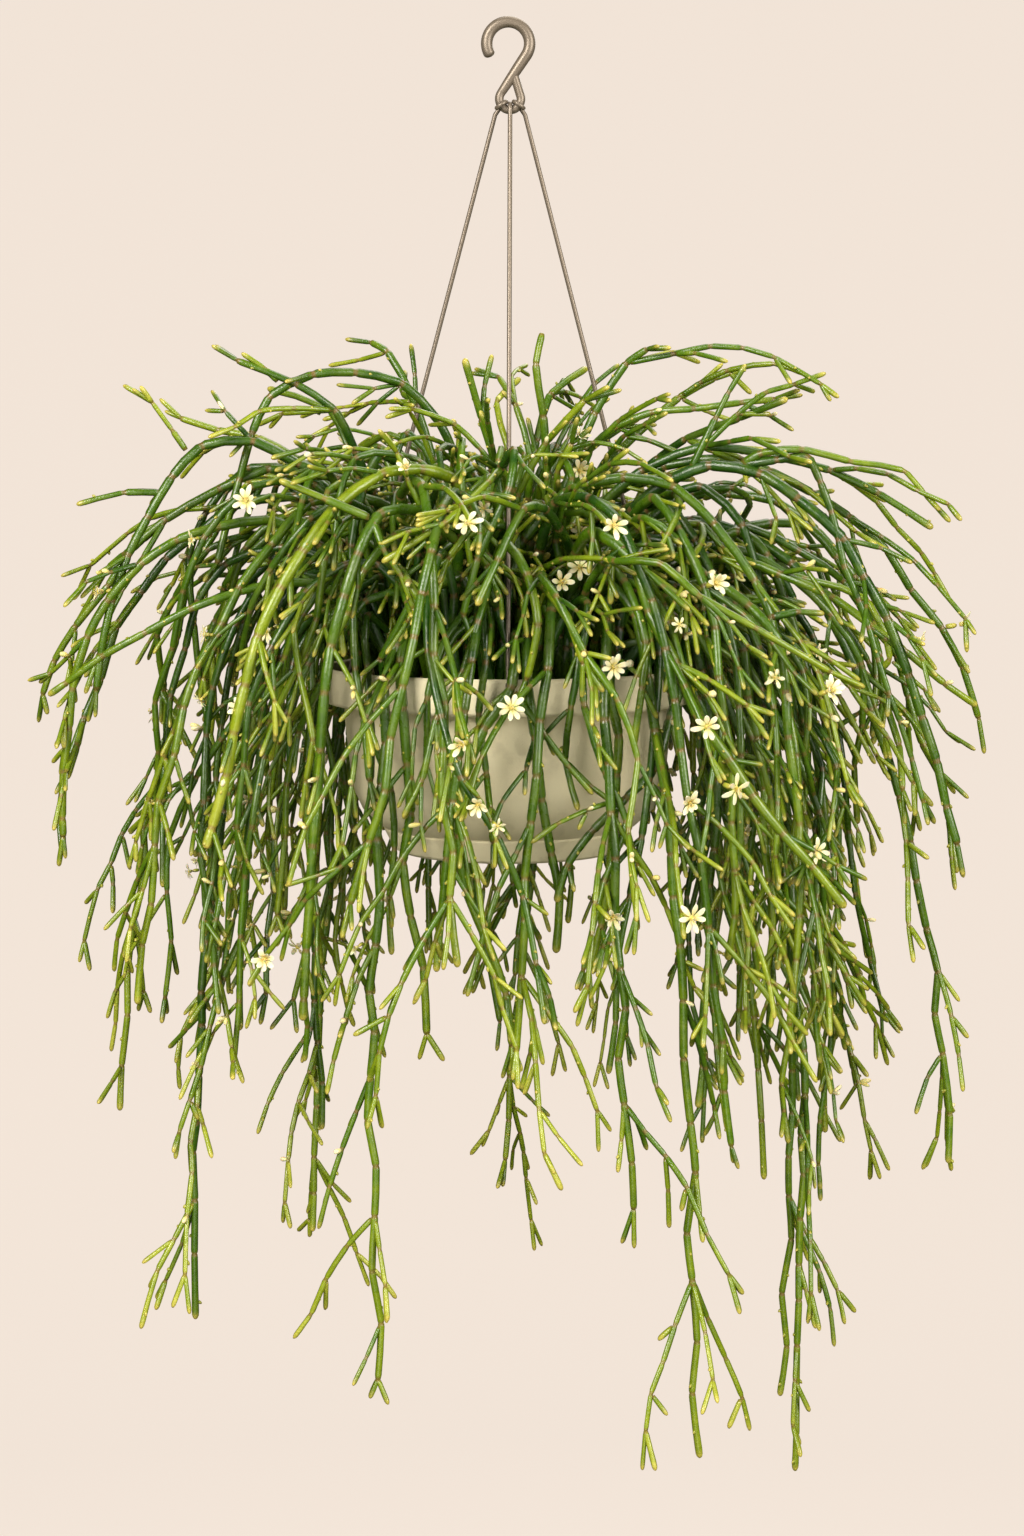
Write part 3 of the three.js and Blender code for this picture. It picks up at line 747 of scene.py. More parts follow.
def growShoots():
    for tip in shoots:
        heading = headingOf(tip)
        for attempt in range(shootMake["tries"]):
            end = plus(tip, (either(1) * attempt, either(1) * attempt, draw(-1, 0) * attempt))
            clump = clumpFor(
                heading + either(shootMake["turn"]) * degrees, draw(*shootMake["ring"]))
            shape = {
                "tip": end, "reach": farOut(end) * shootMake["reach"],
                "swing": either(shootMake["swing"]), "lifts": upright(end),
            }
            if growFrond(clump, shape, shootMake["twigs"]):
                break


def growRest():
    few, many = restMake["twigs"]
    for i in range(restMake["tries"]):
        if all(clump["room"] == 0 for clump in clumps):
            break
        heading = (i * growth["goldenTurn"] + either(restMake["turn"])) * degrees
        sideways = sidewaysOf(heading)
        layer = draw()
        clump = clumpFor(heading, blend(*restMake["rings"], layer) + either(restMake["ringStray"]))
        rise = blend(*restMake["rises"], layer) + either(restMake["riseStray"])
        outer = blend(*restMake["outer"], sideways)
        reach = blend(restMake["inner"], outer, math.sqrt(layer)) + either(restMake["reachStray"])
        drop = blend(draw(*restMake["shortDrop"]), draw(*restMake["longDrop"]), sideways)
        end = times(outward(heading), reach * draw(*restMake["vary"]))
        shape = {
            "tip": atHeight(end, -drop), "reach": reach, "swing": either(restMake["swing"]),
            "lifts": arching(rise),
        }
        growFrond(clump, shape, few if draw() < restMake["sparse"] else many)


def growInfill():
    frontLow, backLow = infill["lowest"]
    for clump in clumps:
        own = headingOf(clump["place"]) / degrees
        for _ in range(infill["tries"]):
            heading = (own + either(infill["turn"])) * degrees
            sideways = sidewaysOf(heading)
            low = frontLow if math.sin(heading) < 0 else backLow
            drop = blend(draw(infill["drop"], low), draw(*infill["sideDrop"]), sideways)
            reach = blend(infill["inner"], blend(*infill["outer"], sideways), draw())
            end = times(outward(heading), reach * draw(*infill["vary"]))
            shape = {
                "tip": atHeight(end, -drop), "reach": reach, "swing": either(infill["swing"]),
                "lifts": arching(draw(*infill["rises"])),
            }
            points = growMain(clump, shape, infill["joints"])
            if points:
                joint = max(1, math.floor(draw(*infill["twigPlace"]) * (len(points) - 1)))
                if draw() < infill["twigShare"]:
                    along = alongAt(points, joint)
                    growTwig(clump, points[joint], along, 2, infillTwig, infill["twigYouth"])
                break


def bloomPlaces(heading, across, height):  # joints near a place seen from one side, nearest first
    forward, aside = outward(heading), outward(heading + math.pi / 2)
    spots = []
    for clump in clumps:
        for stem in clump["stems"]:
            for point in stem["points"][1:]:
                offset = math.hypot(dot(point, aside) - across, point[2] - height)
                free = size(minus(point, clump["place"])) > bloomSize["footFree"]
                if offset < bloomSize["search"] and free:
                    ahead = dot(point, forward) - bloomSize["offsetWeight"] * offset
                    spots.append((ahead, clump, point))
    spots.sort(key=lambda spot: -spot[0])
    return spots[:bloomSize["spots"]]


def placeBloom(owner, heading, across, height):
    spread, down = bloomSize["aside"], bloomSize["down"]
    for _, clump, point in bloomPlaces(heading, across, height):
        for _ in range(bloomSize["tries"]):
            radial = times(outward(headingOf(point)), bloomSize["radial"])
            stray = (either(spread), either(spread), draw(down, spread))
            direction = unit(plus(plus(outward(heading), radial), stray))
            spur = [point, plus(point, times(direction, bloomSize["spur"]))]
            radii = [thickness["neck"], bloomSize["spurRadius"]]
            lift = growth["tipBulge"] * bloomSize["spurRadius"] + growth["gap"]
            base = plus(spur[1], times(direction, lift))
            middle = plus(base, times(direction, bloomSize["height"] * bloomSize["middle"]))
            wide = bloomSize["petal"] + growth["gap"]
            free = (farOut(middle) < growth["reachLimit"]
                    and stemClear(spur, radii, clump["owner"], False)
                    and touching(middle, middle, wide, owner, growth["clearance"]) == 0)
            if free:
                take(spur, radii, clump["owner"])
                take([middle, middle], [bloomSize["petal"]] * 2, owner)
                clump["stems"].append(stemOf("spur", spur, radii, bloomSize["spurYouth"]))
                return {"base": base, "direction": direction}
    return None


# the hook's and the wires' lines
hook = {"rod": 2.7, "bend": 8.6, "tipAngle": 208}
eye = {"rod": 1.9, "ring": 5.7, "x": 1.0, "z": -37.6}
wire = {
    "rod": 1.0, "spread": 55, "holeDepth": 8, "holeRadius": 1.8, "wrap": (-25, -271), "step": 35,
    "pull": 3, "inset": 0.4, "insideBends": [(-4.2, 5), (-3.2, 1.4), (-1, 0)],
    "outsideBends": [(1.2, 0), (2.6, 1.6), (2.9, 6)],
}
# each wire's heading, and its seat round the eye
wires = {"front": (-90, 0), "right": (20, wire["spread"]), "left": (160, -wire["spread"])}


def wireRoute(side, turnStep=wire["step"]):
    heading, seat = wires[side]
    radial = outward(heading * degrees)
    way = math.copysign(1, radial[1])
    drop = (math.sin(seat * degrees), 0, -math.cos(seat * degrees))
    loop = eye["rod"] + wire["rod"] + growth["gap"]
    centre = plus((eye["x"], 0, eye["z"]), times(drop, eye["ring"]))
    points = []
    for turn in range(*wire["wrap"], -turnStep):
        bend = turn * degrees
        ring = plus(times(drop, math.cos(bend)), (0, way * math.sin(bend), 0))
        points.append(plus(centre, times(ring, loop)))
    inner = bowlProfile[rimInside][0] - wire["inset"]
    outer = bowlProfile[rimOutside][0]
    holeZ = rimZ - wire["holeDepth"]
    bends = [(inner + out, holeZ + up) for out, up in wire["insideBends"]]
    bends += [(outer + out, holeZ + up) for out, up in wire["outsideBends"]]
    bends = [atHeight(times(radial, radius), z) for radius, z in bends]
    high = plus(points[-1], times(drop, wire["pull"]))
    points.append(plus(high, times(unit(minus(bends[0], high)), wire["pull"])))
    return points + bends


draw = seededDraw(growth["seed"])
for number, side in enumerate(wires):
    route = wireRoute(side)
    take(route, [wire["rod"]] * len(route), -1 - number)
placeClumps()
growLeads()
growShoots()
growRest()
blooms = []
for heading, places in bloomSides:
    for across, height in places:
        spot = placeBloom(owners["blooms"] + len(blooms), heading * degrees, across, height)
        if spot:
            blooms.append(spot)
growInfill()


def sagSides(clump):  # long side stems that carry no bloom hang a little lower towards their tips
    carrying = {stem["points"][0] for stem in clump["stems"] if stem["kind"] == "spur"}
    for stem in clump["stems"]:
        points = stem["points"]
        if stem["kind"] == "twig" and not carrying.intersection(points):
            last = len(points) - 1
            for i in range(1, last + 1):
                drop = growth["sag"] * (i / last) ** growth["sagPower"]
                points[i] = plus(points[i], (0, 0, -drop))


for clump in clumps:
    sagSides(clump)
print("stems of the solids:", sum(len(c["stems"]) for c in clumps), "blooms:", len(blooms))


def smoothPlace(points, i, share, bend):  # on a curve through the joints; less bend keeps kinks
    a, b = np.array(points[i]), np.array(points[i + 1])
    chord = b - a
    before = np.array(points[i - 1]) if i > 0 else a - chord
    after = np.array(points[i + 2]) if i + 2 < len(points) else b + chord
    length = np.linalg.norm(chord)
    straight = chord / length

    def tangent(first, second):
        mean = first / np.linalg.norm(first) + second / np.linalg.norm(second)
        mean = mean / max(np.linalg.norm(mean), hair)
        return (straight * (1 - bend) + mean * bend) * length

    m0, m1 = tangent(a - before, chord), tangent(chord, after - b)
    s = np.asarray(share)[:, None]
    return ((2 * s**3 - 3 * s**2 + 1) * a + (s**3 - 2 * s**2 + s) * m0
            + (-2 * s**3 + 3 * s**2) * b + (s**3 - s**2) * m1)


# each kind of stem: how many, where it is rooted, how high it rises, how far it reaches, where its
# tip hangs, its radii and its number of side stems
trails = {
    "seed": 90317,
    "kinds": [
        {"name": "cap", "count": 70, "ring": (4, 56), "rise": (88, 126), "reach": (50, 165),
         "drop": (268, 345), "radii": (2.5, 1.6), "twigs": (1, 3), "swing": 60},
        {"name": "crown", "count": 50, "ring": (12, 80), "rise": (74, 118), "reach": (110, 208),
         "drop": (325, 440), "radii": (2.6, 1.6), "twigs": (2, 4), "swing": 40},
        {"name": "curtain", "count": 92, "ring": (20, 84), "rise": (62, 110), "reach": (116, 210),
         "drop": (420, 650), "radii": (2.6, 1.5), "twigs": (4, 6), "swing": 28},
        {"name": "bowlFront", "count": 16, "ring": (50, 84), "rise": (40, 66), "reach": (106, 122),
         "drop": (400, 530), "radii": (2.4, 1.6), "twigs": (2, 4), "swing": 20,
         "headings": [(-125, -55)]},
        {"name": "bowlSide", "count": 16, "ring": (56, 86), "rise": (44, 72), "reach": (108, 130),
         "drop": (420, 560), "radii": (2.5, 1.6), "twigs": (3, 5), "swing": 16,
         "headings": [(-222, -150), (-30, 42)]},
        {"name": "inner", "count": 46, "ring": (4, 80), "rise": (50, 92), "reach": (40, 130),
         "drop": (275, 330), "radii": (2.6, 1.8), "twigs": (1, 3), "swing": 60},
        {"name": "shoots", "count": 9, "ring": (4, 70), "rise": (70, 150), "reach": (20, 150),
         "drop": (182, 250), "radii": (2.3, 1.7), "twigs": (0, 2), "swing": 30},
    ],
    "tries": 16, "mostHits": 6, "room": -0.6, "stray": 3.8, "joints": (20, 30, 6), "sway": (3, 11),
    "waves": (0.8, 1.8), "bowlView": 98, "bowlShare": 0.10, "belowRim": 8, "rightShare": 0.5,
    "rightDip": 0.3, "leftLift": 0.16, "shootYouth": 0.2, "shootReach": 0.7, "rootLift": 1,
    "rootStray": 0.7, "frontReach": 0.84, "frontDrop": 0.35, "lowPower": 1.4,
    "vary": (0.85, 1.08), "firstTwig": 0.3, "twigSpread": 0.95, "twigYouth": (0.1, 0.5),
}
# the wires are seen down to these heights, with few stems in front of them
wireView = {"front": -312, "right": -262, "left": -282, "share": 0.12, "foot": 90}
arcMake = {
    "step": 0.05, "lastJoint": 8, "spread": 0.3, "firstTwig": 3, "twigShare": 0.6,
    "twigJoints": (0.6, 2.4), "younger": 0.1, "kink": (1, 0.8),
}
arcTwig = {
    **sideTwig, "attempts": 8, "lean": (20, 50), "length": (12, 24), "droop": 0.2, "bend": 0.3,
    "room": trails["room"], "most": 1, "radii": (1.9, 1.4),
}
trailTwig = {
    **arcTwig, "lean": (20, 40), "length": (14, 24), "droop": 0.45, "bend": 0.24,
    "joints": (0.6, 3.3), "thick": 1.7, "thin": 1.3, "slimmer": 0.84,
}
# long stems at the front, root, points after it, radii at both ends and youth
frontArcs = [
    [(-30, -36), [(-20, -74, -246), (-37, -90, -233), (-50, -96, -231), (-65, -104, -236),
                  (-82, -114, -248), (-97, -124, -266), (-109, -130, -286), (-121, -134, -311),
                  (-129, -136, -343), (-136, -136, -377), (-146, -136, -415)], (3.5, 2.4), 0.36],
    [(10, -40), [(-14, -70, -274), (-31, -86, -264), (-42, -98, -254), (-54, -110, -250),
                 (-66, -120, -256), (-71, -126, -266), (-76, -130, -283), (-84, -132, -306),
                 (-88, -134, -341), (-91, -134, -366), (-94, -134, -400), (-96, -132, -448),
                 (-100, -130, -500)], (3.3, 2.1), 0.38],
    [(46, -30), [(56, -46, -272), (67, -56, -248), (92, -66, -233), (117, -72, -230),
                 (141, -80, -243), (160, -84, -258), (180, -86, -288), (195, -86, -322),
                 (212, -84, -367), (226, -82, -420)], (3.5, 2.1), 0.12],
    [(-14, 24), [(-30, -6, -220), (-56, -16, -188), (-94, -24, -182), (-118, -28, -188),
                 (-132, -30, -214), (-142, -34, -246), (-150, -40, -280)], (3.2, 1.9), 0.16],
    [(-46, 12), [(-70, -22, -244), (-94, -34, -236), (-134, -42, -218), (-164, -46, -224),
                 (-176, -50, -244), (-192, -54, -272), (-204, -58, -306), (-210, -60, -344)],
     (3.3, 1.9), 0.10],
    [(34, 14), [(44, -6, -222), (72, -18, -204), (110, -26, -199), (138, -30, -196)],
     (2.8, 1.8), 0.22],
    [(-52, -30), [(-92, -64, -292), (-130, -78, -292), (-168, -84, -306), (-206, -80, -328),
                  (-232, -74, -346)], (2.9, 1.8), 0.20],
    [(62, 0), [(96, -40, -280), (140, -62, -286), (186, -72, -312), (216, -72, -336),
               (238, -66, -352)], (3.1, 1.8), 0.14],
    [(30, -52), [(40, -84, -262), (49, -100, -269), (63, -108, -279), (68, -114, -300),
                 (81, -122, -326), (94, -126, -352), (108, -128, -374), (119, -128, -390),
                 (141, -126, -417), (165, -122, -446)], (3.5, 2.2), 0.34],
    [(-64, -6), [(-110, -40, -262), (-152, -54, -262), (-190, -58, -282), (-216, -60, -322),
                 (-226, -58, -372), (-228, -56, -420)], (3.0, 1.9), 0.14],
    [(50, -20), [(81, -84, -275), (111, -100, -295), (128, -106, -305), (135, -110, -328),
                 (137, -112, -353), (141, -112, -375), (143, -112, -420)], (3.2, 2.1), 0.14],
    [(4, -50), [(4, -72, -312), (3, -94, -320), (2, -106, -340), (-9, -108, -356),
                (-18, -108, -375), (-26, -108, -397), (-22, -106, -423), (-19, -104, -444),
                (-9, -102, -468), (-2, -100, -493), (2, -98, -519)], (3.1, 2.0), 0.04],
    [(14, -52), [(12, -74, -308), (10, -96, -318), (9, -106, -338), (13, -108, -356),
                 (15, -106, -375), (16, -104, -397), (21, -102, -415), (24, -100, -434),
                 (25, -98, -448), (24, -96, -473)], (3.0, 2.0), 0.06],
    [(-40, -44), [(-48, -66, -310), (-53, -86, -318), (-53, -96, -335), (-52, -97, -353),
                  (-50, -96, -369), (-49, -94, -389), (-48, -92, -405), (-52, -90, -421),
                  (-51, -88, -449), (-45, -86, -471), (-41, -84, -516)], (3.0, 2.0), 0.05],
    [(42, -44), [(47, -64, -308), (51, -84, -317), (51, -96, -337), (51, -97, -357),
                 (55, -95, -367), (54, -93, -389), (53, -91, -413), (51, -88, -429),
                 (46, -86, -461), (41, -84, -484)], (2.9, 1.9), 0.06],
    [(62, -26), [(80, -42, -310), (90, -56, -318), (88, -74, -340), (80, -86, -362),
                 (71, -96, -382), (47, -104, -406), (31, -106, -425), (24, -106, -446)],
     (2.9, 1.9), 0.05],
]
arcSides = [  # side stems that leave them: arc, joint point, points after it, radii and youth
    (1, 4, [(-89, -124, -246), (-111, -124, -237)], (2.7, 2.0), 0.74),
    (1, 4, [(-60, -126, -271), (-52, -126, -283), (-46, -126, -299)], (2.4, 1.8), 0.56),
    (2, 3, [(127, -76, -224), (147, -82, -222), (171, -84, -228), (198, -84, -233),
            (208, -84, -244)], (2.7, 1.7), 0.20),
    (2, 2, [(105, -66, -206), (120, -66, -179)], (2.3, 1.7), 0.52),
    (2, 3, [(150, -82, -226), (156, -84, -238), (165, -86, -267), (175, -88, -297),
            (185, -88, -327), (196, -88, -358), (208, -86, -398)], (2.7, 1.8), 0.16),
    (3, 3, [(-126, -30, -180), (-138, -30, -172)], (2.0, 1.6), 0.40),
    (4, 3, [(-172, -48, -212), (-182, -48, -198)], (1.9, 1.5), 0.50),
    (4, 4, [(-196, -54, -244), (-220, -56, -250)], (2.2, 1.6), 0.34),
    (8, 4, [(98, -126, -334), (116, -128, -346)], (2.0, 1.6), 0.62),
    (10, 2, [(143, -106, -302), (156, -104, -303)], (2.3, 1.8), 0.20),
    (11, 2, [(18, -110, -362), (30, -110, -378), (42, -108, -392)], (2.3, 1.7), 0.60),
]
trailClumps = []


def swayed(points):  # a slow wander from side to side that grows towards the tip
    reach, turn, phase = draw(*trails["sway"]), draw(0, fullTurn), draw(0, fullTurn)
    waves = draw(*trails["waves"]) * fullTurn
    last = len(points) - 1
    moved = [points[0]]
    for i in range(1, last + 1):
        wander = reach * min(1, 2 * i / last) * math.sin(phase + waves * i / last)
        moved.append(plus(points[i], times(outward(turn), wander)))
    return moved


def seenFromFront(places):  # across and up, as the camera sees them, and the distance to it
    away = view["distance"] / mm + places[:, 1]
    across = (places[:, 0] - view["aim"][0] / mm) / away
    return across, (places[:, 2] - view["height"] / mm) / away, away


def hidesWire(points):
    places = np.array(points, float)
    across, up, away = seenFromFront(places)
    for side, (heading, _) in wires.items():
        foot = atHeight(times(outward(heading * degrees), wireView["foot"]), rimZ)
        ends = np.array([(eye["x"], 0, eye["z"]), foot])
        wireAcross, wireUp, wireAway = seenFromFront(ends)
        lean = (wireAcross[1] - wireAcross[0]) / (wireUp[1] - wireUp[0])
        offset = across - (wireAcross[0] + lean * (up - wireUp[0]))
        share = (up - wireUp[0]) / (wireUp[1] - wireUp[0])
        nearer = away < wireAway[0] + (wireAway[1] - wireAway[0]) * share
        seen = places[:-1, 2] > wireView[side]
        if np.any((offset[:-1] * offset[1:] < 0) & nearer[:-1] & seen):
            return True
    return False


def arcRoute(root, places):  # a smooth line through the given places, cut into joints
    rows = [atHeight(root, soilZ + trails["rootLift"]), *places]
    fine = []
    for i in range(len(rows) - 1):
        fine += [plain(place) for place in smoothPlace(rows, i, np.arange(0, 1, arcMake["step"]), 1)]
    fine.append(rows[-1])
    joints = trails["joints"][:2]
    level, upward = arcMake["kink"]
    points, run, following = [fine[0]], 0, draw(*joints)
    for before, after in zip(fine, fine[1:]):
        run += size(minus(after, before))
        if run >= following:
            points.append(plus(after, (either(level), either(level), either(upward))))
            following += draw(*joints)
    if size(minus(points[-1], fine[-1])) < arcMake["lastJoint"]:
        points.pop()
    points.append(fine[-1])
    return points


def addArc(points, ends, youth, kind="trail"):
    owner, radii = owners["trails"] + len(trailClumps), taper(points, *ends)
    take(points, radii, owner)
    stem = stemOf(kind, points, radii, youth, spread=arcMake["spread"])
    trailClumps.append({"owner": owner, "place": points[0], "stems": [stem]})
    return trailClumps[-1]


def growArcs():
    for root, places, ends, youth in frontArcs:
        points = arcRoute(root, places)
        clump = addArc(points, ends, youth)
        for joint in range(arcMake["firstTwig"], len(points) - 1, 2):
            if draw() < arcMake["twigShare"]:
                count = round(draw(*arcMake["twigJoints"]))
                along = alongAt(points, joint)
                growTwig(clump, points[joint], along, count, arcTwig, youth + arcMake["younger"])
    for arc, joint, places, ends, youth in arcSides:
        addArc([frontArcs[arc][1][joint], *places], ends, youth, "twig")


def trailShape(kind):
    heading = draw(0, fullTurn)
    if kind["name"] == "curtain" and math.cos(heading) < 0 and draw() < trails["rightShare"]:
        heading = math.pi - heading
    if "headings" in kind:
        heading = draw(*pick(kind["headings"])) * degrees
    sideways = sidewaysOf(heading)
    root = times(outward(heading + either(trails["rootStray"])), draw(*kind["ring"]))
    reach = blend(*kind["reach"], draw()) * blend(trails["frontReach"], 1, sideways)
    low = blend(*kind["drop"], draw() ** trails["lowPower"])
    drop = blend(kind["drop"][0], low, blend(trails["frontDrop"], 1, sideways))
    drop *= 1 - trails["leftLift"] * max(0, -math.cos(heading)) * (kind["name"] == "curtain")
    end = times(outward(heading), reach * draw(*trails["vary"]))
    tip = atHeight(end, -drop)
    shape = {"tip": tip, "reach": reach, "swing": either(1) * kind["swing"]}
    lower = 1 - trails["rightDip"] * max(0, math.cos(heading))
    shape["lifts"] = arching(blend(*kind["rise"], draw()) * lower)
    if kind["name"] == "shoots":
        shape["lifts"] = upright(tip)
        shape["reach"] = reach * trails["shootReach"]
    return atHeight(root, soilZ + trails["rootLift"]), shape


def bestTrail(kind, owner):  # the route of a few tries that crosses the fewest other stems
    best = (math.inf, None, None)
    for _ in range(trails["tries"]):
        start, shape = trailShape(kind)
        x, y, z = shape["tip"]
        beforeBowl = abs(x) < trails["bowlView"] and y < 0 and z < rimZ + trails["belowRim"]
        if beforeBowl and kind["name"] != "bowlFront" and draw() > trails["bowlShare"]:
            continue
        points = swayed(routeOf(start, shape, trails["joints"], trails["stray"]))
        if hidesWire(points) and draw() > wireView["share"]:
            continue
        radii = taper(points, *kind["radii"])
        hits = stemHits(points, radii, owner, True, trails["room"], trails["mostHits"])
        if hits < best[0]:
            best = (hits, points, radii)
        if hits == 0:
            break
    return best


def growTrail(kind):
    owner = owners["trails"] + len(trailClumps)
    hits, points, radii = bestTrail(kind, owner)
    if hits > trails["mostHits"]:
        return
    take(points, radii, owner)
    young = trails["shootYouth"] if kind["name"] == "shoots" else 0
    stem = stemOf("trail", points, radii, young)
    clump = {"owner": owner, "place": points[0], "stems": [stem]}
    last = len(points) - 1
    count = round(draw(*kind["twigs"]))
    least, gain = trails["twigYouth"]
    for i in range(count):
        share = (i + draw(0, trails["twigSpread"])) / count
        joint = min(last - 1, max(1, round(blend(last * trails["firstTwig"], last, share))))
        thick = min(trailTwig["thick"], radii[joint] * trailTwig["slimmer"])
        make = {**trailTwig, "radii": (thick, trailTwig["thin"])}
        pieces = round(draw(*trailTwig["joints"]))
        along = alongAt(points, joint)
        growTwig(clump, points[joint], along, pieces, make, least + gain * joint / last)
    trailClumps.append(clump)


draw = seededDraw(trails["seed"])
growArcs()
for kind in trails["kinds"]:
    for _ in range(kind["count"]):
        growTrail(kind)
print("further stems:", sum(len(c["stems"]) for c in trailClumps))

# further blooms, buds and berries on the outer joints: where they may be, and a bud's or berry's
# number, length and width
budding = {
    "seed": 7741, "blooms": 40, "bloomTries": 6000, "lowest": -560, "backShare": 0.4,
    "bloomSpread": 0.6, "scale": (0.6, 0.95), "spur": (3, 6), "bloomRadius": 6, "spurYouth": 0.8,
    "fromFoot": 60, "room": 0.2, "budTries": 30, "budSpread": 0.9, "budRadius": 1.2, "sunk": 0.15,
    "ahead": 1.5, "buds": (400, (4.2, 7.2), (1.0, 1.6)), "berries": (7, (4.2, 5.2), (2.0, 2.4)),
}


def outerJoint():
    while True:
        clump = pick(clumps + trailClumps)
        stem = pick(clump["stems"])
        points = stem["points"]
        if stem["kind"] not in ("twig", "trail", "main") or len(points) < 3:
            continue
        joint = int(draw(1, len(points) - 1 - hair))
        if size(minus(points[joint], clump["place"])) < budding["fromFoot"]:
            continue
        along = unit(minus(points[joint], points[joint - 1]))
        return clump, points[joint], stem["radii"][joint], along


def facing(point, along, spread):
    stray = (either(1) * spread, either(1) * spread, draw(-0.5, 1) * spread)
    return unit(plus(plus(outward(headingOf(point)), times(along, 0.5)), stray))


def openAhead(place, wide, owner):
    return (farOut(place) < growth["reachLimit"]
            and growth["lowLimit"] < place[2] < growth["highLimit"]
            and touching(place, place, wide, owner, budding["room"]) == 0
            and bowlClear(np.array([place], float), wide))


def placeExtraBlooms():
    placed = []
    for _ in range(budding["bloomTries"]):
        if len(placed) == budding["blooms"]:
            break
        clump, point, radius, along = outerJoint()
        if point[2] < budding["lowest"] or (point[1] > 0 and draw() < budding["backShare"]):
            continue
        direction = facing(point, along, budding["bloomSpread"])
        spur = [point, plus(point, times(direction, radius + draw(*budding["spur"])))]
        scale = draw(*budding["scale"])
        wide = budding["bloomRadius"] * scale
        middle = plus(spur[1], times(direction, wide))
        if openAhead(middle, wide, owners["nobody"]):
            take([middle, middle], [wide] * 2, owners["furtherBlooms"] + len(placed))
            clump["stems"].append(stemOf("spur", spur, [1, 1], budding["spurYouth"]))
            placed.append({"base": spur[1], "direction": direction, "scale": scale})
    return placed


def placeBuds(count, lengths, widths):
    placed = []
    for _ in range(count * budding["budTries"]):
        if len(placed) == count:
            break
        clump, point, radius, along = outerJoint()
        direction = facing(point, along, budding["budSpread"])
        length = draw(*lengths)
        base = plus(point, times(direction, radius * budding["sunk"]))
        tip = plus(base, times(direction, length + budding["ahead"]))
        if openAhead(tip, budding["budRadius"], clump["owner"]):
            placed.append({
                "base": base, "direction": direction, "length": length, "widths": widths,
            })
    return placed


draw = seededDraw(budding["seed"])
extraBlooms = placeExtraBlooms()
buds = placeBuds(*budding["buds"])
berries = placeBuds(*budding["berries"])
print("further blooms:", len(extraBlooms), "buds:", len(buds), "berries:", len(berries))

# the stems' smooth jointed skins; a mark is a place, a swell of the radius and how far it has
# the tip's colour
jointShape = {
    "seed": 51131, "pinch": 0.8, "shoulder": 0.9, "full": 2.1, "hidden": 2.2, "bend": 0.8,
    "club": 1.08, "slim": (0.88, 0.76), "spread": 0.5, "twigYouth": (0.42, 0.08, 0.30),
    "spacing": {"main": 26, "trail": 30, "twig": 20}, "stray": (0.7, 2.2),
    "tipMarks": [(4.6, 1, 0.08), (1.9, 0.94, 0.6), (0.7, 0.7, 0.95), (0, 0.3, 1)],
    "shade": (0.22, 0.4), "footRadii": [4.6, 4.0], "footTone": -1, "footGap": 0.5,
    "placeStray": 0.14, "rollStray": 0.8, "strayGain": (0.7, 0.9), "fullShare": 0.2,
    "hiddenShare": 0.4, "shoulderMark": (0.95, 0.55), "middleMark": (0.55, 1.01, 0, 0),
    "middleFrom": {"main": 12, "foot": 12}, "middleElse": 18, "nearest": 0.004,
    "forkEnd": (0.5, 0.4),
}
fingers = {
    "length": (10, 20), "radius": (1.15, 1.5), "thin": 0.92, "forkShare": 0.5, "three": 0.12,
    "forkLean": (10, 34), "sideShare": 0.18, "twigShare": 1.6, "lowSides": (-440, 1.8),
    "lean": (24, 50), "paired": {"twig": 0.3, "main": 0.55, "trail": 0.55}, "younger": (0, 0.3),
    "oldest": 0.86, "bend": 0.22, "down": (-0.34, 0.06), "firstShare": 0.25, "forkHidden": 0.2,
    "sideHidden": 0.8,
}
sideBuds = {
    "spacing": (7, 30), "reach": (0.5, 1.9), "radius": 0.95, "forward": (0.5, 1.6), "young": 0.3,
    "first": 3, "endFree": 3, "base": 0.45, "sunk": 0.4,
    "marks": [(0, 0.85, 0), (0.6, 0.95, 0.45), (1, 0.4, 1)],
}
sidesOf = {"foot": 7, "main": 7, "trail": 6, "twig": 5, "spur": 5, "finger": 5, "bud": 4}


def jointed(stem):  # further joints along a stem, each a little to the other side
    spacing = jointShape["spacing"].get(stem["kind"])
    if not spacing:
        return
    points, radii = stem["points"], stem["radii"]
    rows = [(points[0], radii[0])]
    least, gain = jointShape["strayGain"]
    roll = draw(0, fullTurn)
    for i in range(len(points) - 1):
        span = minus(points[i + 1], points[i])
        parts = max(1, round(size(span) / spacing))
        for j in range(1, parts):
            share = (j + either(jointShape["placeStray"])) / parts
            roll += math.pi + either(jointShape["rollStray"])
            place = plain(smoothPlace(points, i, [share], jointShape["bend"])[0])
            stray = draw(*jointShape["stray"]) * (least + gain * i / len(points))
            place = plus(place, times(perpendicular(unit(span), roll), stray))
            rows.append((place, blend(radii[i], radii[i + 1], share)))
        rows.append((points[i + 1], radii[i + 1]))
    stem["points"] = [row[0] for row in rows]
    stem["radii"] = [row[1] for row in rows]


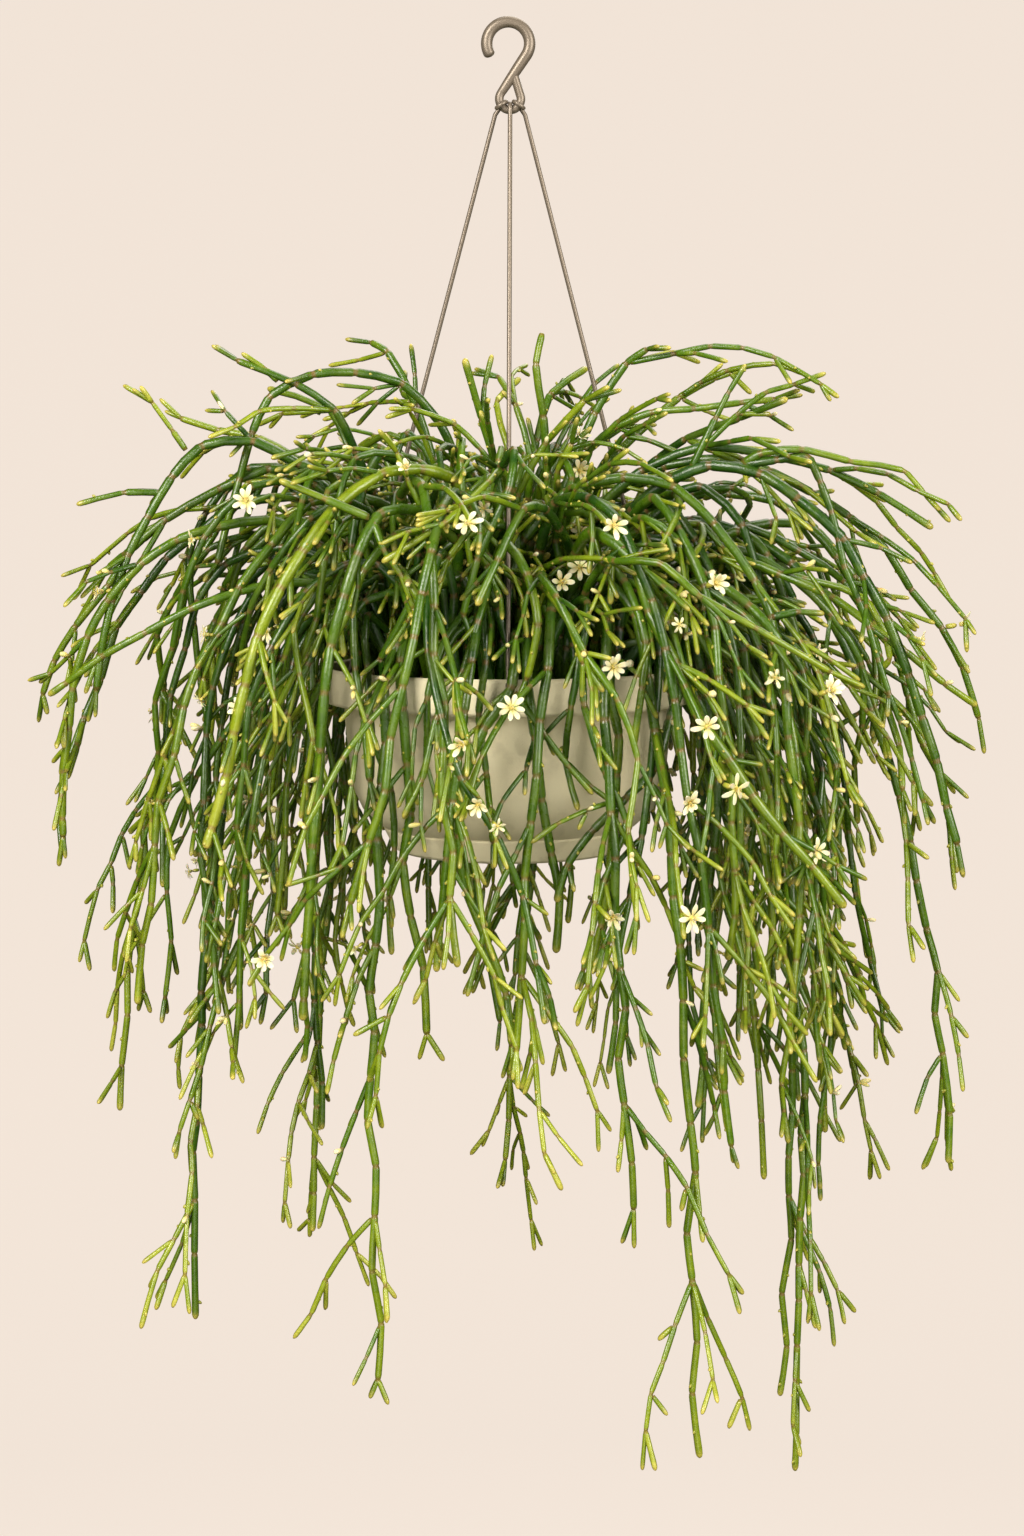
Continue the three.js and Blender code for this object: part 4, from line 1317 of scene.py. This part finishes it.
def addFinger(stem, grown, spot, direction, hidden, lean, pieces=1):
    points = [spot]
    away = perpendicular(direction, draw(0, fullTurn))
    heading = plus(times(direction, math.cos(lean)), times(away, math.sin(lean)))
    bend = fingers["bend"]
    for _ in range(pieces):
        heading = unit(plus(heading, (either(bend), either(bend), draw(*fingers["down"]))))
        points.append(plus(points[-1], times(heading, draw(*fingers["length"]) + hidden * 0.5)))
    if not withinReach(points[-1], growth["fingerReach"], growth["fingerLow"]):
        return
    radius = min(stem["radii"][-1] * fingers["thin"], draw(*fingers["radius"]))
    if bowlClear(np.array(points[1:], float), radius):
        youth = min(fingers["oldest"], stem["shade"] + draw(*fingers["younger"]))
        radii = [radius] * len(points)
        grown.append(stemOf("finger", points, radii, youth, tone=stem["tone"], hidden=hidden))


def addFingers(stem, grown):
    points, radii, kind = stem["points"], stem["radii"], stem["kind"]
    direction = unit(minus(points[-1], points[-2]))
    if draw() < fingers["forkShare"]:
        stem["forked"] = True
        for _ in range(3 if draw() < fingers["three"] else 2):
            lean = draw(*fingers["forkLean"]) * degrees
            addFinger(stem, grown, points[-1], direction, fingers["forkHidden"], lean)
    share = fingers["sideShare"] * (fingers["twigShare"] if kind == "twig" else 1)
    low, more = fingers["lowSides"]
    first = 1 if kind == "twig" else max(2, round(len(points) * fingers["firstShare"]))
    for i in range(first, len(points) - 1):
        if draw() < share * (more if points[i][2] < low else 1):
            along = unit(minus(points[i + 1], points[i]))
            pieces = 2 if draw() < fingers["paired"][kind] else 1
            lean = draw(*fingers["lean"]) * degrees
            hidden = radii[i] * fingers["sideHidden"]
            addFinger(stem, grown, points[i], along, hidden, lean, pieces)


def addBuds(stem, grown):
    points, radii = stem["points"], stem["radii"]
    for i in range(0 if stem["kind"] == "twig" else sideBuds["first"], len(points) - 1):
        span = minus(points[i + 1], points[i])
        length = size(span)
        along = times(span, 1 / length)
        run = draw(*sideBuds["spacing"])
        while run < length - sideBuds["endFree"]:
            share = run / length
            radius = blend(radii[i], radii[i + 1], share)
            away = perpendicular(along, draw(0, fullTurn))
            heading = unit(plus(times(along, draw(*sideBuds["forward"])), away))
            middle = plain(smoothPlace(points, i, [share], jointShape["bend"])[0])
            start = plus(middle, times(away, radius * sideBuds["base"]))
            reach = draw(*sideBuds["reach"]) + radius * sideBuds["sunk"]
            end = plus(start, times(heading, reach))
            youth = min(1, stem["shade"] + sideBuds["young"])
            ends = [sideBuds["radius"]] * 2
            grown.append(stemOf("bud", [start, end], ends, youth, tone=stem["tone"]))
            run += draw(*sideBuds["spacing"])


def endMarks(length, forked, pinch, full):
    if forked:  # the last joint, from which the end stems fork
        past, swell = jointShape["forkEnd"]
        return [(1 - full / length, 1, 0, 0), (1, pinch, 1, 0), (1 + past / length, swell, 1, 0)]
    club = jointShape["club"]
    return [(1 - back / length, club * swell, 0, tip)
            for back, swell, tip in jointShape["tipMarks"]]


def jointMarks(stem, i, length):  # rows of share, swell, collar and tip along one joint
    pinch, shoulder = jointShape["pinch"], jointShape["shoulder"]
    near = min(jointShape["full"], length * jointShape["fullShare"])
    hidden = stem.get("hidden", jointShape["hidden"]) if i == 0 else 0
    hidden = min(hidden, length * jointShape["hiddenShare"])
    finer = stem["kind"] in jointShape["middleFrom"]
    marks = [(hidden / length, pinch, 1, 0)]
    if finer:
        marks.append(((hidden + shoulder) / length, *jointShape["shoulderMark"], 0))
    marks.append(((hidden + near) / length, 1, 0, 0))
    if length > jointShape["middleFrom"].get(stem["kind"], jointShape["middleElse"]):
        marks.append(jointShape["middleMark"])
    if i == len(stem["points"]) - 2:
        marks += endMarks(length, stem.get("forked"), pinch, near)
    else:
        marks.append((1 - near / length, 1, 0, 0))
        if finer:
            marks.append((1 - shoulder / length, *jointShape["shoulderMark"], 0))
    least = jointShape["nearest"]
    return [m for k, m in enumerate(marks) if k == 0 or m[0] > marks[k - 1][0] + least]


def youthAlong(stem, along):
    if stem["kind"] in ("main", "trail"):
        return stem["youth"] + stem.get("spread", jointShape["spread"]) * along ** 1.6
    if stem["kind"] == "twig":
        own, least, gain = jointShape["twigYouth"]
        return stem["youth"] * own + least + gain * along
    return stem["youth"]


def ringsOf(stem):  # rows of place, radius, youth, collar, tip and tone along one stem
    points, radii, kind, tone = stem["points"], stem["radii"], stem["kind"], stem["tone"]
    if kind == "bud":
        start, end = np.array(points[0]), np.array(points[1])
        return np.array([
            (*(start + (end - start) * share), radii[0] * swell, stem["youth"], 0, tip, tone)
            for share, swell, tip in sideBuds["marks"]])
    lengths = [size(minus(b, a)) for a, b in zip(points, points[1:])]
    total, run, rows = sum(lengths), 0, []
    for i, length in enumerate(lengths):
        body = max(radii[i], radii[i + 1]) if i == 0 else blend(radii[i], radii[i + 1], 0.5)
        if kind in ("main", "twig"):
            body *= blend(*jointShape["slim"], run / total)
        marks = jointMarks(stem, i, length)
        places = smoothPlace(points, i, [mark[0] for mark in marks], jointShape["bend"])
        for place, (share, swell, collar, tip) in zip(places, marks):
            youth = youthAlong(stem, (run + share * length) / total)
            rows.append((*place, body * swell, youth, collar, tip, tone))
        run += length
    return np.array(rows)


def sectionOf(sides):  # the outline that a stem's skin is swept from
    outline = bpy.data.curves.new("section", "CURVE")
    outline.splines.new("POLY").points.add(sides - 1)
    for corner, point in enumerate(outline.splines[0].points):
        point.co = (*outward(corner / sides * fullTurn), 1)
    outline.splines[0].use_cyclic_u = True
    section = bpy.data.objects.new("section", outline)
    scene.collection.objects.link(section)
    return section


sections = {sides: sectionOf(sides) for sides in set(sidesOf.values())}


def sweptStems(name, rings, sides):  # their skins, with a point for each side of each ring
    curve = bpy.data.curves.new(name, "CURVE")
    curve.dimensions = "3D"
    curve.twist_mode = "MINIMUM"
    curve.bevel_mode = "OBJECT"
    curve.bevel_object = sections[sides]
    for rows in rings:
        addPath(curve, rows)
    mesh = evaluatedMesh(bpy.data.objects.new(name, curve))
    bpy.data.curves.remove(curve)
    return mesh


def skinMesh(name, stems):
    joined = bmesh.new()
    values = []
    for sides in sorted({sidesOf[stem["kind"]] for stem in stems}):
        rings = [ringsOf(stem) for stem in stems if sidesOf[stem["kind"]] == sides]
        mesh = sweptStems(name, rings, sides)
        joined.from_mesh(mesh)
        bpy.data.meshes.remove(mesh)
        values.append(np.repeat(np.concatenate(rings)[:, 4:], sides, axis=0))
    values = np.concatenate(values)
    if len(joined.verts) != len(values):
        raise ValueError(f"{name}: {len(joined.verts)} points for {len(values)} rows of values")
    bmesh.ops.holes_fill(joined, edges=[e for e in joined.edges if e.is_boundary], sides=8)
    bmesh.ops.recalc_face_normals(joined, faces=joined.faces)
    mesh = meshOf(joined, name)
    for column, label in enumerate(("youth", "collar", "tip", "tone")):
        layer = mesh.attributes.new(label, "FLOAT", "POINT")
        layer.data.foreach_set("value", values[:, column].astype(np.float32))
    for layer in list(mesh.uv_layers):
        mesh.uv_layers.remove(layer)
    return mesh


made = Counter()
leastShade, shadeGain = jointShape["shade"]


def finishStems(name, stems, nodes=()):
    grown = []
    for stem in stems:
        stem.setdefault("tone", either(1))
        stem["shade"] = leastShade + shadeGain * stem["youth"]
        jointed(stem)
        grown.append(stem)
        if stem["kind"] in ("main", "trail", "twig"):
            addFingers(stem, grown)
            addBuds(stem, grown)
    mesh = skinMesh(name, grown)
    mesh.calc_loop_triangles()
    made.update(stem["kind"] for stem in grown)
    made["triangles"] += len(mesh.loop_triangles)
    finished(name, mesh, stemSkin, nodes)


draw = seededDraw(jointShape["seed"])
for number, clump in enumerate(clumps):
    low = atHeight(clump["place"], soilZ - growth["footDepth"] + jointShape["footGap"])
    high = atHeight(clump["place"], soilZ + growth["footHeight"])
    tone = jointShape["footTone"]
    foot = stemOf("foot", [low, high], jointShape["footRadii"], 0, tone=tone, hidden=0)
    finishStems(f"clump_{number + 1}", [*clump["stems"], foot], [f"stems_{number + 1}"])
print("clumps skinned:", made["triangles"], "triangles")

sectors = 8
for sector in range(sectors):
    stems = []
    for clump in trailClumps:
        turn = headingOf(clump["stems"][0]["points"][-1]) / fullTurn
        if int((turn + 0.5) * sectors) % sectors == sector:
            stems += clump["stems"]
    finishStems(f"trails_{sector + 1}", stems)
for section in sections.values():
    bpy.data.objects.remove(section)
print("trails skinned:", dict(made))

# blooms and buds
bloomMake = {
    "seed": 60013, "petals": (5, 8), "length": 6.6, "vary": (0.78, 1.08), "width": 1.7,
    "thick": 0.3, "open": (-10, 62), "openStray": 14, "curl": (-0.03, 0.07), "twist": 0.25,
    "petalBase": (1.0, 0, 2.3), "cup": (1.1, 1.5, 2.4), "heart": 1.15, "heartHeight": 2.4,
    "stamens": 9, "stamenBase": 2.6, "stamenLean": (10, 42), "stick": (0.12, 0.1, 2.6),
    "knob": 0.3, "knobHeight": 2.7,
}
bloomTones = {"cup": 0.2, "heart": 0.02, "stick": 0.75, "knob": 0.16, "bud": (0.1, 0.48)}


def raised(height):
    return Matrix.Translation((0, 0, height))


def poseOf(spot):
    turn = Vector(spot["direction"]).to_track_quat("Z", "Y").to_matrix().to_4x4()
    turn = turn @ Matrix.Rotation(draw(0, fullTurn), 4, "Z")
    scale = Matrix.Scale(spot.get("scale", 1), 4)
    return Matrix.Scale(mm, 4) @ Matrix.Translation(Vector(spot["base"])) @ turn @ scale


def mark(verts, layer, part):
    for v in verts:
        v[layer] = bloomTones[part]


def coneOf(bm, radii, segments, pose):  # from a low end to a high one, standing on its low end
    low, high, depth = radii
    return bmesh.ops.create_cone(
        bm, cap_ends=True, segments=segments, radius1=low, radius2=high, depth=depth,
        matrix=pose @ raised(depth / 2),
    )["verts"]


def addPetal(bm, layer, pose, length, tilt, curl):
    verts = bmesh.ops.create_uvsphere(bm, u_segments=8, v_segments=6, radius=1)["verts"]
    stand = Matrix.Translation(bloomMake["petalBase"]) @ Matrix.Rotation(-tilt, 4, "Y")
    twist = either(bloomMake["twist"])
    for v in verts:
        share = (v.co.z + 1) / 2  # 0 at the cup and 1 at the petal's end
        broad = bloomMake["width"] * (0.5 + 0.62 * share - 0.2 * share ** 4)  # widest near its end
        side = v.co.x * broad
        lift = v.co.y * bloomMake["thick"] - curl * (share * length) ** 2 + 0.2 * side * side
        v[layer] = min(1, 0.22 + 0.8 * share)
        v.co = pose @ stand @ Vector((share * length, side, lift + twist * side * share))


def addBloom(bm, layer, spot):
    pose = poseOf(spot)
    mark(coneOf(bm, bloomMake["cup"], 8, pose), layer, "cup")
    count = round(draw(*bloomMake["petals"]))
    openness = draw(*bloomMake["open"]) * degrees
    for i in range(count):
        turn = (i + either(0.2)) / count * fullTurn
        length = bloomMake["length"] * draw(*bloomMake["vary"])
        tilt = openness + either(bloomMake["openStray"]) * degrees
        petalPose = pose @ Matrix.Rotation(turn, 4, "Z")
        addPetal(bm, layer, petalPose, length, tilt, draw(*bloomMake["curl"]))
    heart = bmesh.ops.create_uvsphere(
        bm, u_segments=8, v_segments=5, radius=bloomMake["heart"])["verts"]
    bmesh.ops.transform(bm, verts=heart, matrix=pose @ raised(bloomMake["heartHeight"]))
    mark(heart, layer, "heart")
    for i in range(bloomMake["stamens"]):
        stick = coneOf(bm, bloomMake["stick"], 4, Matrix())
        knob = bmesh.ops.create_icosphere(
            bm, subdivisions=1, radius=bloomMake["knob"], matrix=raised(bloomMake["knobHeight"]),
        )["verts"]
        stand = (pose @ raised(bloomMake["stamenBase"])
                 @ Matrix.Rotation(i / bloomMake["stamens"] * fullTurn, 4, "Z")
                 @ Matrix.Rotation(draw(*bloomMake["stamenLean"]) * degrees, 4, "Y"))
        bmesh.ops.transform(bm, verts=stick + knob, matrix=stand)
        mark(stick, layer, "stick")
        mark(knob, layer, "knob")


def addBud(bm, layer, spot):
    verts = bmesh.ops.create_uvsphere(bm, u_segments=6, v_segments=5, radius=1)["verts"]
    pose = poseOf(spot)
    breadth = draw(*spot["widths"])
    pale = draw(*bloomTones["bud"])
    for v in verts:
        share = (v.co.z + 1) / 2
        v[layer] = min(1, pale + 0.24 * share)
        swell = breadth * (0.8 + 0.35 * share)
        v.co = pose @ Vector((v.co.x * swell, v.co.y * swell, share * spot["length"]))


def bloomPiece(name, spots, add, nodes=()):
    bm = bmesh.new()
    layer = bm.verts.layers.float.new("reach")  # 0 at a bloom's heart and 1 at a petal's end
    for spot in spots:
        add(bm, layer, spot)
    bmesh.ops.recalc_face_normals(bm, faces=bm.faces)
    finished(name, meshOf(bm, name), bloomPetal, nodes)


draw = seededDraw(bloomMake["seed"])
bloomPiece("blooms", blooms, addBloom, [f"bloom_{i + 1}" for i in range(len(blooms))])
bloomPiece("furtherBlooms", extraBlooms, addBloom)
bloomPiece("flowerBuds", buds, addBud)
bloomPiece("berries", berries, addBud)
print("blooms made")

# the hanger's rods as drawn; the eye runs round to where its end meets the rod above it
hookMake = {
    "rod": 3.05, "eyeRod": 2.3, "eyeEnd": 372, "meet": (2.6, 0, -23.5), "bendSteps": 44,
    "shankSteps": 8, "thinning": 1.5, "eyeSteps": 30, "closeSteps": 4, "sides": 16,
}
wireMake = {"rod": 1.2, "step": 7, "sides": 10}
rodEnd = {"length": 0.6, "rings": [(1, 0.25), (0.82, 0.62), (0.45, 0.9)]}


def roundedRod(points, radii):  # rows of place and radius, with both ends rounded over
    first = unit(minus(points[0], points[1]))
    last = unit(minus(points[-1], points[-2]))
    starts, ends = [], []
    for share, wide in rodEnd["rings"]:
        start = plus(points[0], times(first, radii[0] * rodEnd["length"] * share))
        end = plus(points[-1], times(last, radii[-1] * rodEnd["length"] * share))
        starts.append((*start, radii[0] * wide))
        ends.insert(0, (*end, radii[-1] * wide))
    rows = [(*point, radius) for point, radius in zip(points, radii)]
    return np.array(starts + rows + ends)


def rodMesh(name, points, radii, sides):
    curve = bpy.data.curves.new(name, "CURVE")
    curve.dimensions = "3D"
    curve.bevel_depth = 1
    curve.bevel_resolution = sides // 2 - 2
    addPath(curve, roundedRod(points, radii))
    mesh = evaluatedMesh(bpy.data.objects.new(name, curve))
    bm = bmesh.new()
    bm.from_mesh(mesh)
    bpy.data.meshes.remove(mesh)
    bmesh.ops.holes_fill(bm, edges=[e for e in bm.edges if e.is_boundary], sides=sides)
    bmesh.ops.recalc_face_normals(bm, faces=bm.faces)
    return bm


def ringPlace(centre, radius, angle):  # on an upright ring that faces the front
    return plus(centre, (radius * math.cos(angle), 0, radius * math.sin(angle)))


def hookMesh():
    bendRing = hook["bend"] + hook["rod"]
    bendCentre = (0, 0, -hook["bend"])
    eyeCentre = (eye["x"], 0, eye["z"])
    between = minus(eyeCentre, bendCentre)
    lean = math.asin((bendRing + eye["ring"]) / size(between))
    slant = lean - math.atan2(between[0], -between[2])
    leave = -slant / degrees
    steps = hookMake["bendSteps"]
    points = []
    for i in range(steps + 1):
        angle = blend(hook["tipAngle"], leave, i / steps) * degrees
        points.append(ringPlace(bendCentre, bendRing, angle))
    radii = [hookMake["rod"]] * len(points)
    touch = math.pi - slant
    run, finish = points[-1], ringPlace(eyeCentre, eye["ring"], touch)
    for i in range(1, hookMake["shankSteps"] + 1):
        share = i / hookMake["shankSteps"]
        points.append(plus(times(run, 1 - share), times(finish, share)))
        radii.append(blend(hookMake["rod"], hookMake["eyeRod"], share ** hookMake["thinning"]))
    bm = rodMesh("hookRod", points, radii, hookMake["sides"])
    ring = points[-3:-1]
    for i in range(hookMake["eyeSteps"] + 1):
        angle = blend(touch, hookMake["eyeEnd"] * degrees, i / hookMake["eyeSteps"])
        ring.append(ringPlace(eyeCentre, eye["ring"], angle))
    turned = ring[-1]
    for i in range(1, hookMake["closeSteps"] + 1):
        share = i / hookMake["closeSteps"]
        ring.append(plus(times(turned, 1 - share), times(hookMake["meet"], share)))
    ringMesh = rodMesh("hookEye", ring, [hookMake["eyeRod"]] * len(ring), hookMake["sides"])
    eyeMesh = meshOf(ringMesh, "hookEye")
    bm.from_mesh(eyeMesh)
    bpy.data.meshes.remove(eyeMesh)
    return meshOf(bm, "hook")


finished("hangingHook", hookMesh(), satinSteel, ["hook"])
for side in wires:
    route = wireRoute(side, wireMake["step"])
    rod = rodMesh(f"wire{side}", route, [wireMake["rod"]] * len(route), wireMake["sides"])
    mesh = meshOf(rod, f"wire{side}")
    finished(f"wire{side.capitalize()}", mesh, satinSteel, [f"wire_{side}"])
print("hanger made")

# the bowl, and the rods that cut its wire holes and drain holes
bowlMake = {
    "steps": 96, "edge": 0.55, "edgeSegments": 3, "edgeAngle": 24, "weld": 0.004, "drains": 4,
    "drain": {"ring": 30, "depth": 95, "tilt": 0, "radius": 3.5, "length": 12, "segments": 24},
    "wireHole": {"ring": 94.6, "depth": wire["holeDepth"], "tilt": 90,
                 "radius": wire["holeRadius"], "length": 20, "segments": 20},
}


def turnedMesh(profile, steps):
    bm = spun([(radius * mm, (rimZ - depth) * mm) for radius, depth in profile], steps)
    bmesh.ops.remove_doubles(bm, verts=bm.verts, dist=hair)
    bmesh.ops.recalc_face_normals(bm, faces=bm.faces)
    return bm


def addCutter(cutters, turn, hole):
    place = (hole["ring"] * mm, 0, (rimZ - hole["depth"]) * mm)
    pose = (Matrix.Rotation(turn, 4, "Z") @ Matrix.Translation(place)
            @ Matrix.Rotation(hole["tilt"] * degrees, 4, "Y"))
    radius = hole["radius"] * mm
    bmesh.ops.create_cone(
        cutters, cap_ends=True, segments=hole["segments"], radius1=radius, radius2=radius,
        depth=hole["length"] * mm, matrix=pose,
    )


def bowlMesh():
    bodyMesh = meshOf(turnedMesh(bowlProfile, bowlMake["steps"]), "bowlBody")
    body = bpy.data.objects.new("bowlBody", bodyMesh)
    cutters = bmesh.new()
    for heading, _ in wires.values():
        addCutter(cutters, heading * degrees, bowlMake["wireHole"])
    for i in range(bowlMake["drains"]):
        addCutter(cutters, i / bowlMake["drains"] * fullTurn, bowlMake["drain"])
    holes = bpy.data.objects.new("bowlHoles", meshOf(cutters, "bowlHoles"))
    scene.collection.objects.link(holes)
    edge = body.modifiers.new("edge", "BEVEL")
    edge.width = bowlMake["edge"] * mm
    edge.segments = bowlMake["edgeSegments"]
    edge.limit_method = "ANGLE"
    edge.angle_limit = bowlMake["edgeAngle"] * degrees
    cut = body.modifiers.new("holes", "BOOLEAN")
    cut.operation = "DIFFERENCE"
    cut.object = holes
    mesh = evaluatedMesh(body)
    bpy.data.objects.remove(holes)
    bm = bmesh.new()
    bm.from_mesh(mesh)
    weld = bowlMake["weld"] * mm  # slivers that the bevel and the cut leave
    bmesh.ops.remove_doubles(bm, verts=bm.verts, dist=weld)
    bmesh.ops.dissolve_degenerate(bm, edges=bm.edges, dist=weld)
    bm.to_mesh(mesh)
    bm.free()
    return mesh


finished("bowlShell", bowlMesh(), bowlPlastic, ["bowl"])

# the soil: radius and depth of its side, then its top with lumps and crumbs
soilMake = {
    "side": [(0, 93.05), (56.8, 93.05), (72.1, 73.6), (80.6, 51.8), (83.6, 16.65), (94.25, 15.65)],
    "topRadius": 94.5, "topDepth": 11.4, "steps": 72, "rings": 18, "lumpy": 93,
    "noise": (0.6, 2, 4), "noiseScale": 90, "swell": 1.6, "crumbs": 260, "crumbRing": 92,
    "crumb": (0.7, 2.1), "crumbHeight": (-0.4, 0.8), "crumbTurn": 3,
    "crumbFlat": [(0.5, 1), (0.5, 0.9)],
}


def soilMesh():
    rings, turn = soilMake["rings"], soilMake["crumbTurn"]
    top = [(soilMake["topRadius"] * (1 - i / rings), soilMake["topDepth"]) for i in range(rings + 1)]
    bm = turnedMesh(soilMake["side"] + top, soilMake["steps"])
    for v in bm.verts:
        if v.co.z / mm > soilZ - 1 and math.hypot(v.co.x, v.co.y) / mm < soilMake["lumpy"]:
            lump = noise.fractal(v.co * soilMake["noiseScale"], *soilMake["noise"])
            v.co.z += soilMake["swell"] * mm * lump
    for _ in range(soilMake["crumbs"]):
        rho = soilMake["crumbRing"] * math.sqrt(draw())
        angle, grain = draw(0, fullTurn), draw(*soilMake["crumb"])
        spot = atHeight(times(outward(angle), rho), soilZ + draw(*soilMake["crumbHeight"]))
        pose = (Matrix.Translation(Vector(spot) * mm)
                @ Matrix.Rotation(draw(0, turn), 4, "X") @ Matrix.Rotation(draw(0, turn), 4, "Y")
                @ Matrix.Diagonal((1, *(draw(*flat) for flat in soilMake["crumbFlat"]), 1)))
        bmesh.ops.create_icosphere(bm, subdivisions=1, radius=grain * mm, matrix=pose)
    return meshOf(bm, "soil", smooth=False)


finished("soilFill", soilMesh(), pottingSoil, ["soil"])
print("bowl and soil made")

# the stage and its lights; a lamp is its name, place, width and power
studio = {
    "wall": 4.4, "floor": -1.9, "top": 3.6, "cove": 1.2, "coveSteps": 12, "centre": 0.001,
    "steps": 64, "cream": (0.848, 0.745, 0.660), "base": 0.20, "pale": 1.05,
    "wash": (0.5, 2, 0, 0.25), "glow": 0.95, "roughness": 0.9,
    "sky": (1.0, 0.94, 0.58), "skyStrength": 0.07, "lampColour": (1, 0.955, 0.885),
    "lampAim": (0, 0, -0.4), "lamps": [
        ("key", (-1.3, -1.9, 0.85), 1.3, 98), ("fill", (1.8, -1.6, 0.35), 1.3, 68),
        ("low", (-0.2, -2.3, -1.1), 1.6, 17), ("top", (0.3, 0.5, 1.5), 1.2, 16),
        ("back", (0.7, 2.0, 1.2), 1.8, 30),
    ],
}


def stageMesh():
    wall, floor, cove = studio["wall"], studio["floor"], studio["cove"]
    row = [(studio["centre"], floor)]
    for i in range(studio["coveSteps"] + 1):
        angle = i / studio["coveSteps"] * math.pi / 2
        row.append((wall - cove + cove * math.sin(angle), floor + cove * (1 - math.cos(angle))))
    row.append((wall, studio["top"]))
    return meshOf(spun(row, studio["steps"]), "backdrop")


def backdropMaterial():
    material, tree = newMaterial("backdropCream", {
        "Roughness": studio["roughness"], "Emission Color": (*studio["cream"], 1),
        "Emission Strength": studio["glow"],
    })
    dim = times(studio["cream"], studio["base"])
    pale = times(tuple(min(1, c * studio["pale"]) for c in studio["cream"]), studio["base"])
    dress(tree, mixColour(tree, mottle(tree, *studio["wash"]), dim, pale))
    return material


backdrop = bpy.data.objects.new("backdrop", stageMesh())
backdrop.data.materials.append(backdropMaterial())
scene.collection.objects.link(backdrop)
backdrop.visible_shadow = False
backdrop.visible_diffuse = False
backdrop.visible_glossy = False

for name, place, width, power in studio["lamps"]:
    lamp = bpy.data.lights.new(name, "AREA")
    lamp.shape = "SQUARE"
    lamp.size = width
    lamp.energy = power
    lamp.color = studio["lampColour"]
    light = bpy.data.objects.new(name, lamp)
    light.location = place
    light.visible_camera = False
    light.rotation_euler = turnedTo(place, studio["lampAim"])
    scene.collection.objects.link(light)

sky = bpy.data.worlds.new("softSky")
sky.use_nodes = True
setInputs(sky.node_tree.nodes["Background"], {
    "Color": (*studio["sky"], 1), "Strength": studio["skyStrength"],
})
scene.world = sky
scene.view_settings.view_transform = "Standard"
print("studio set")
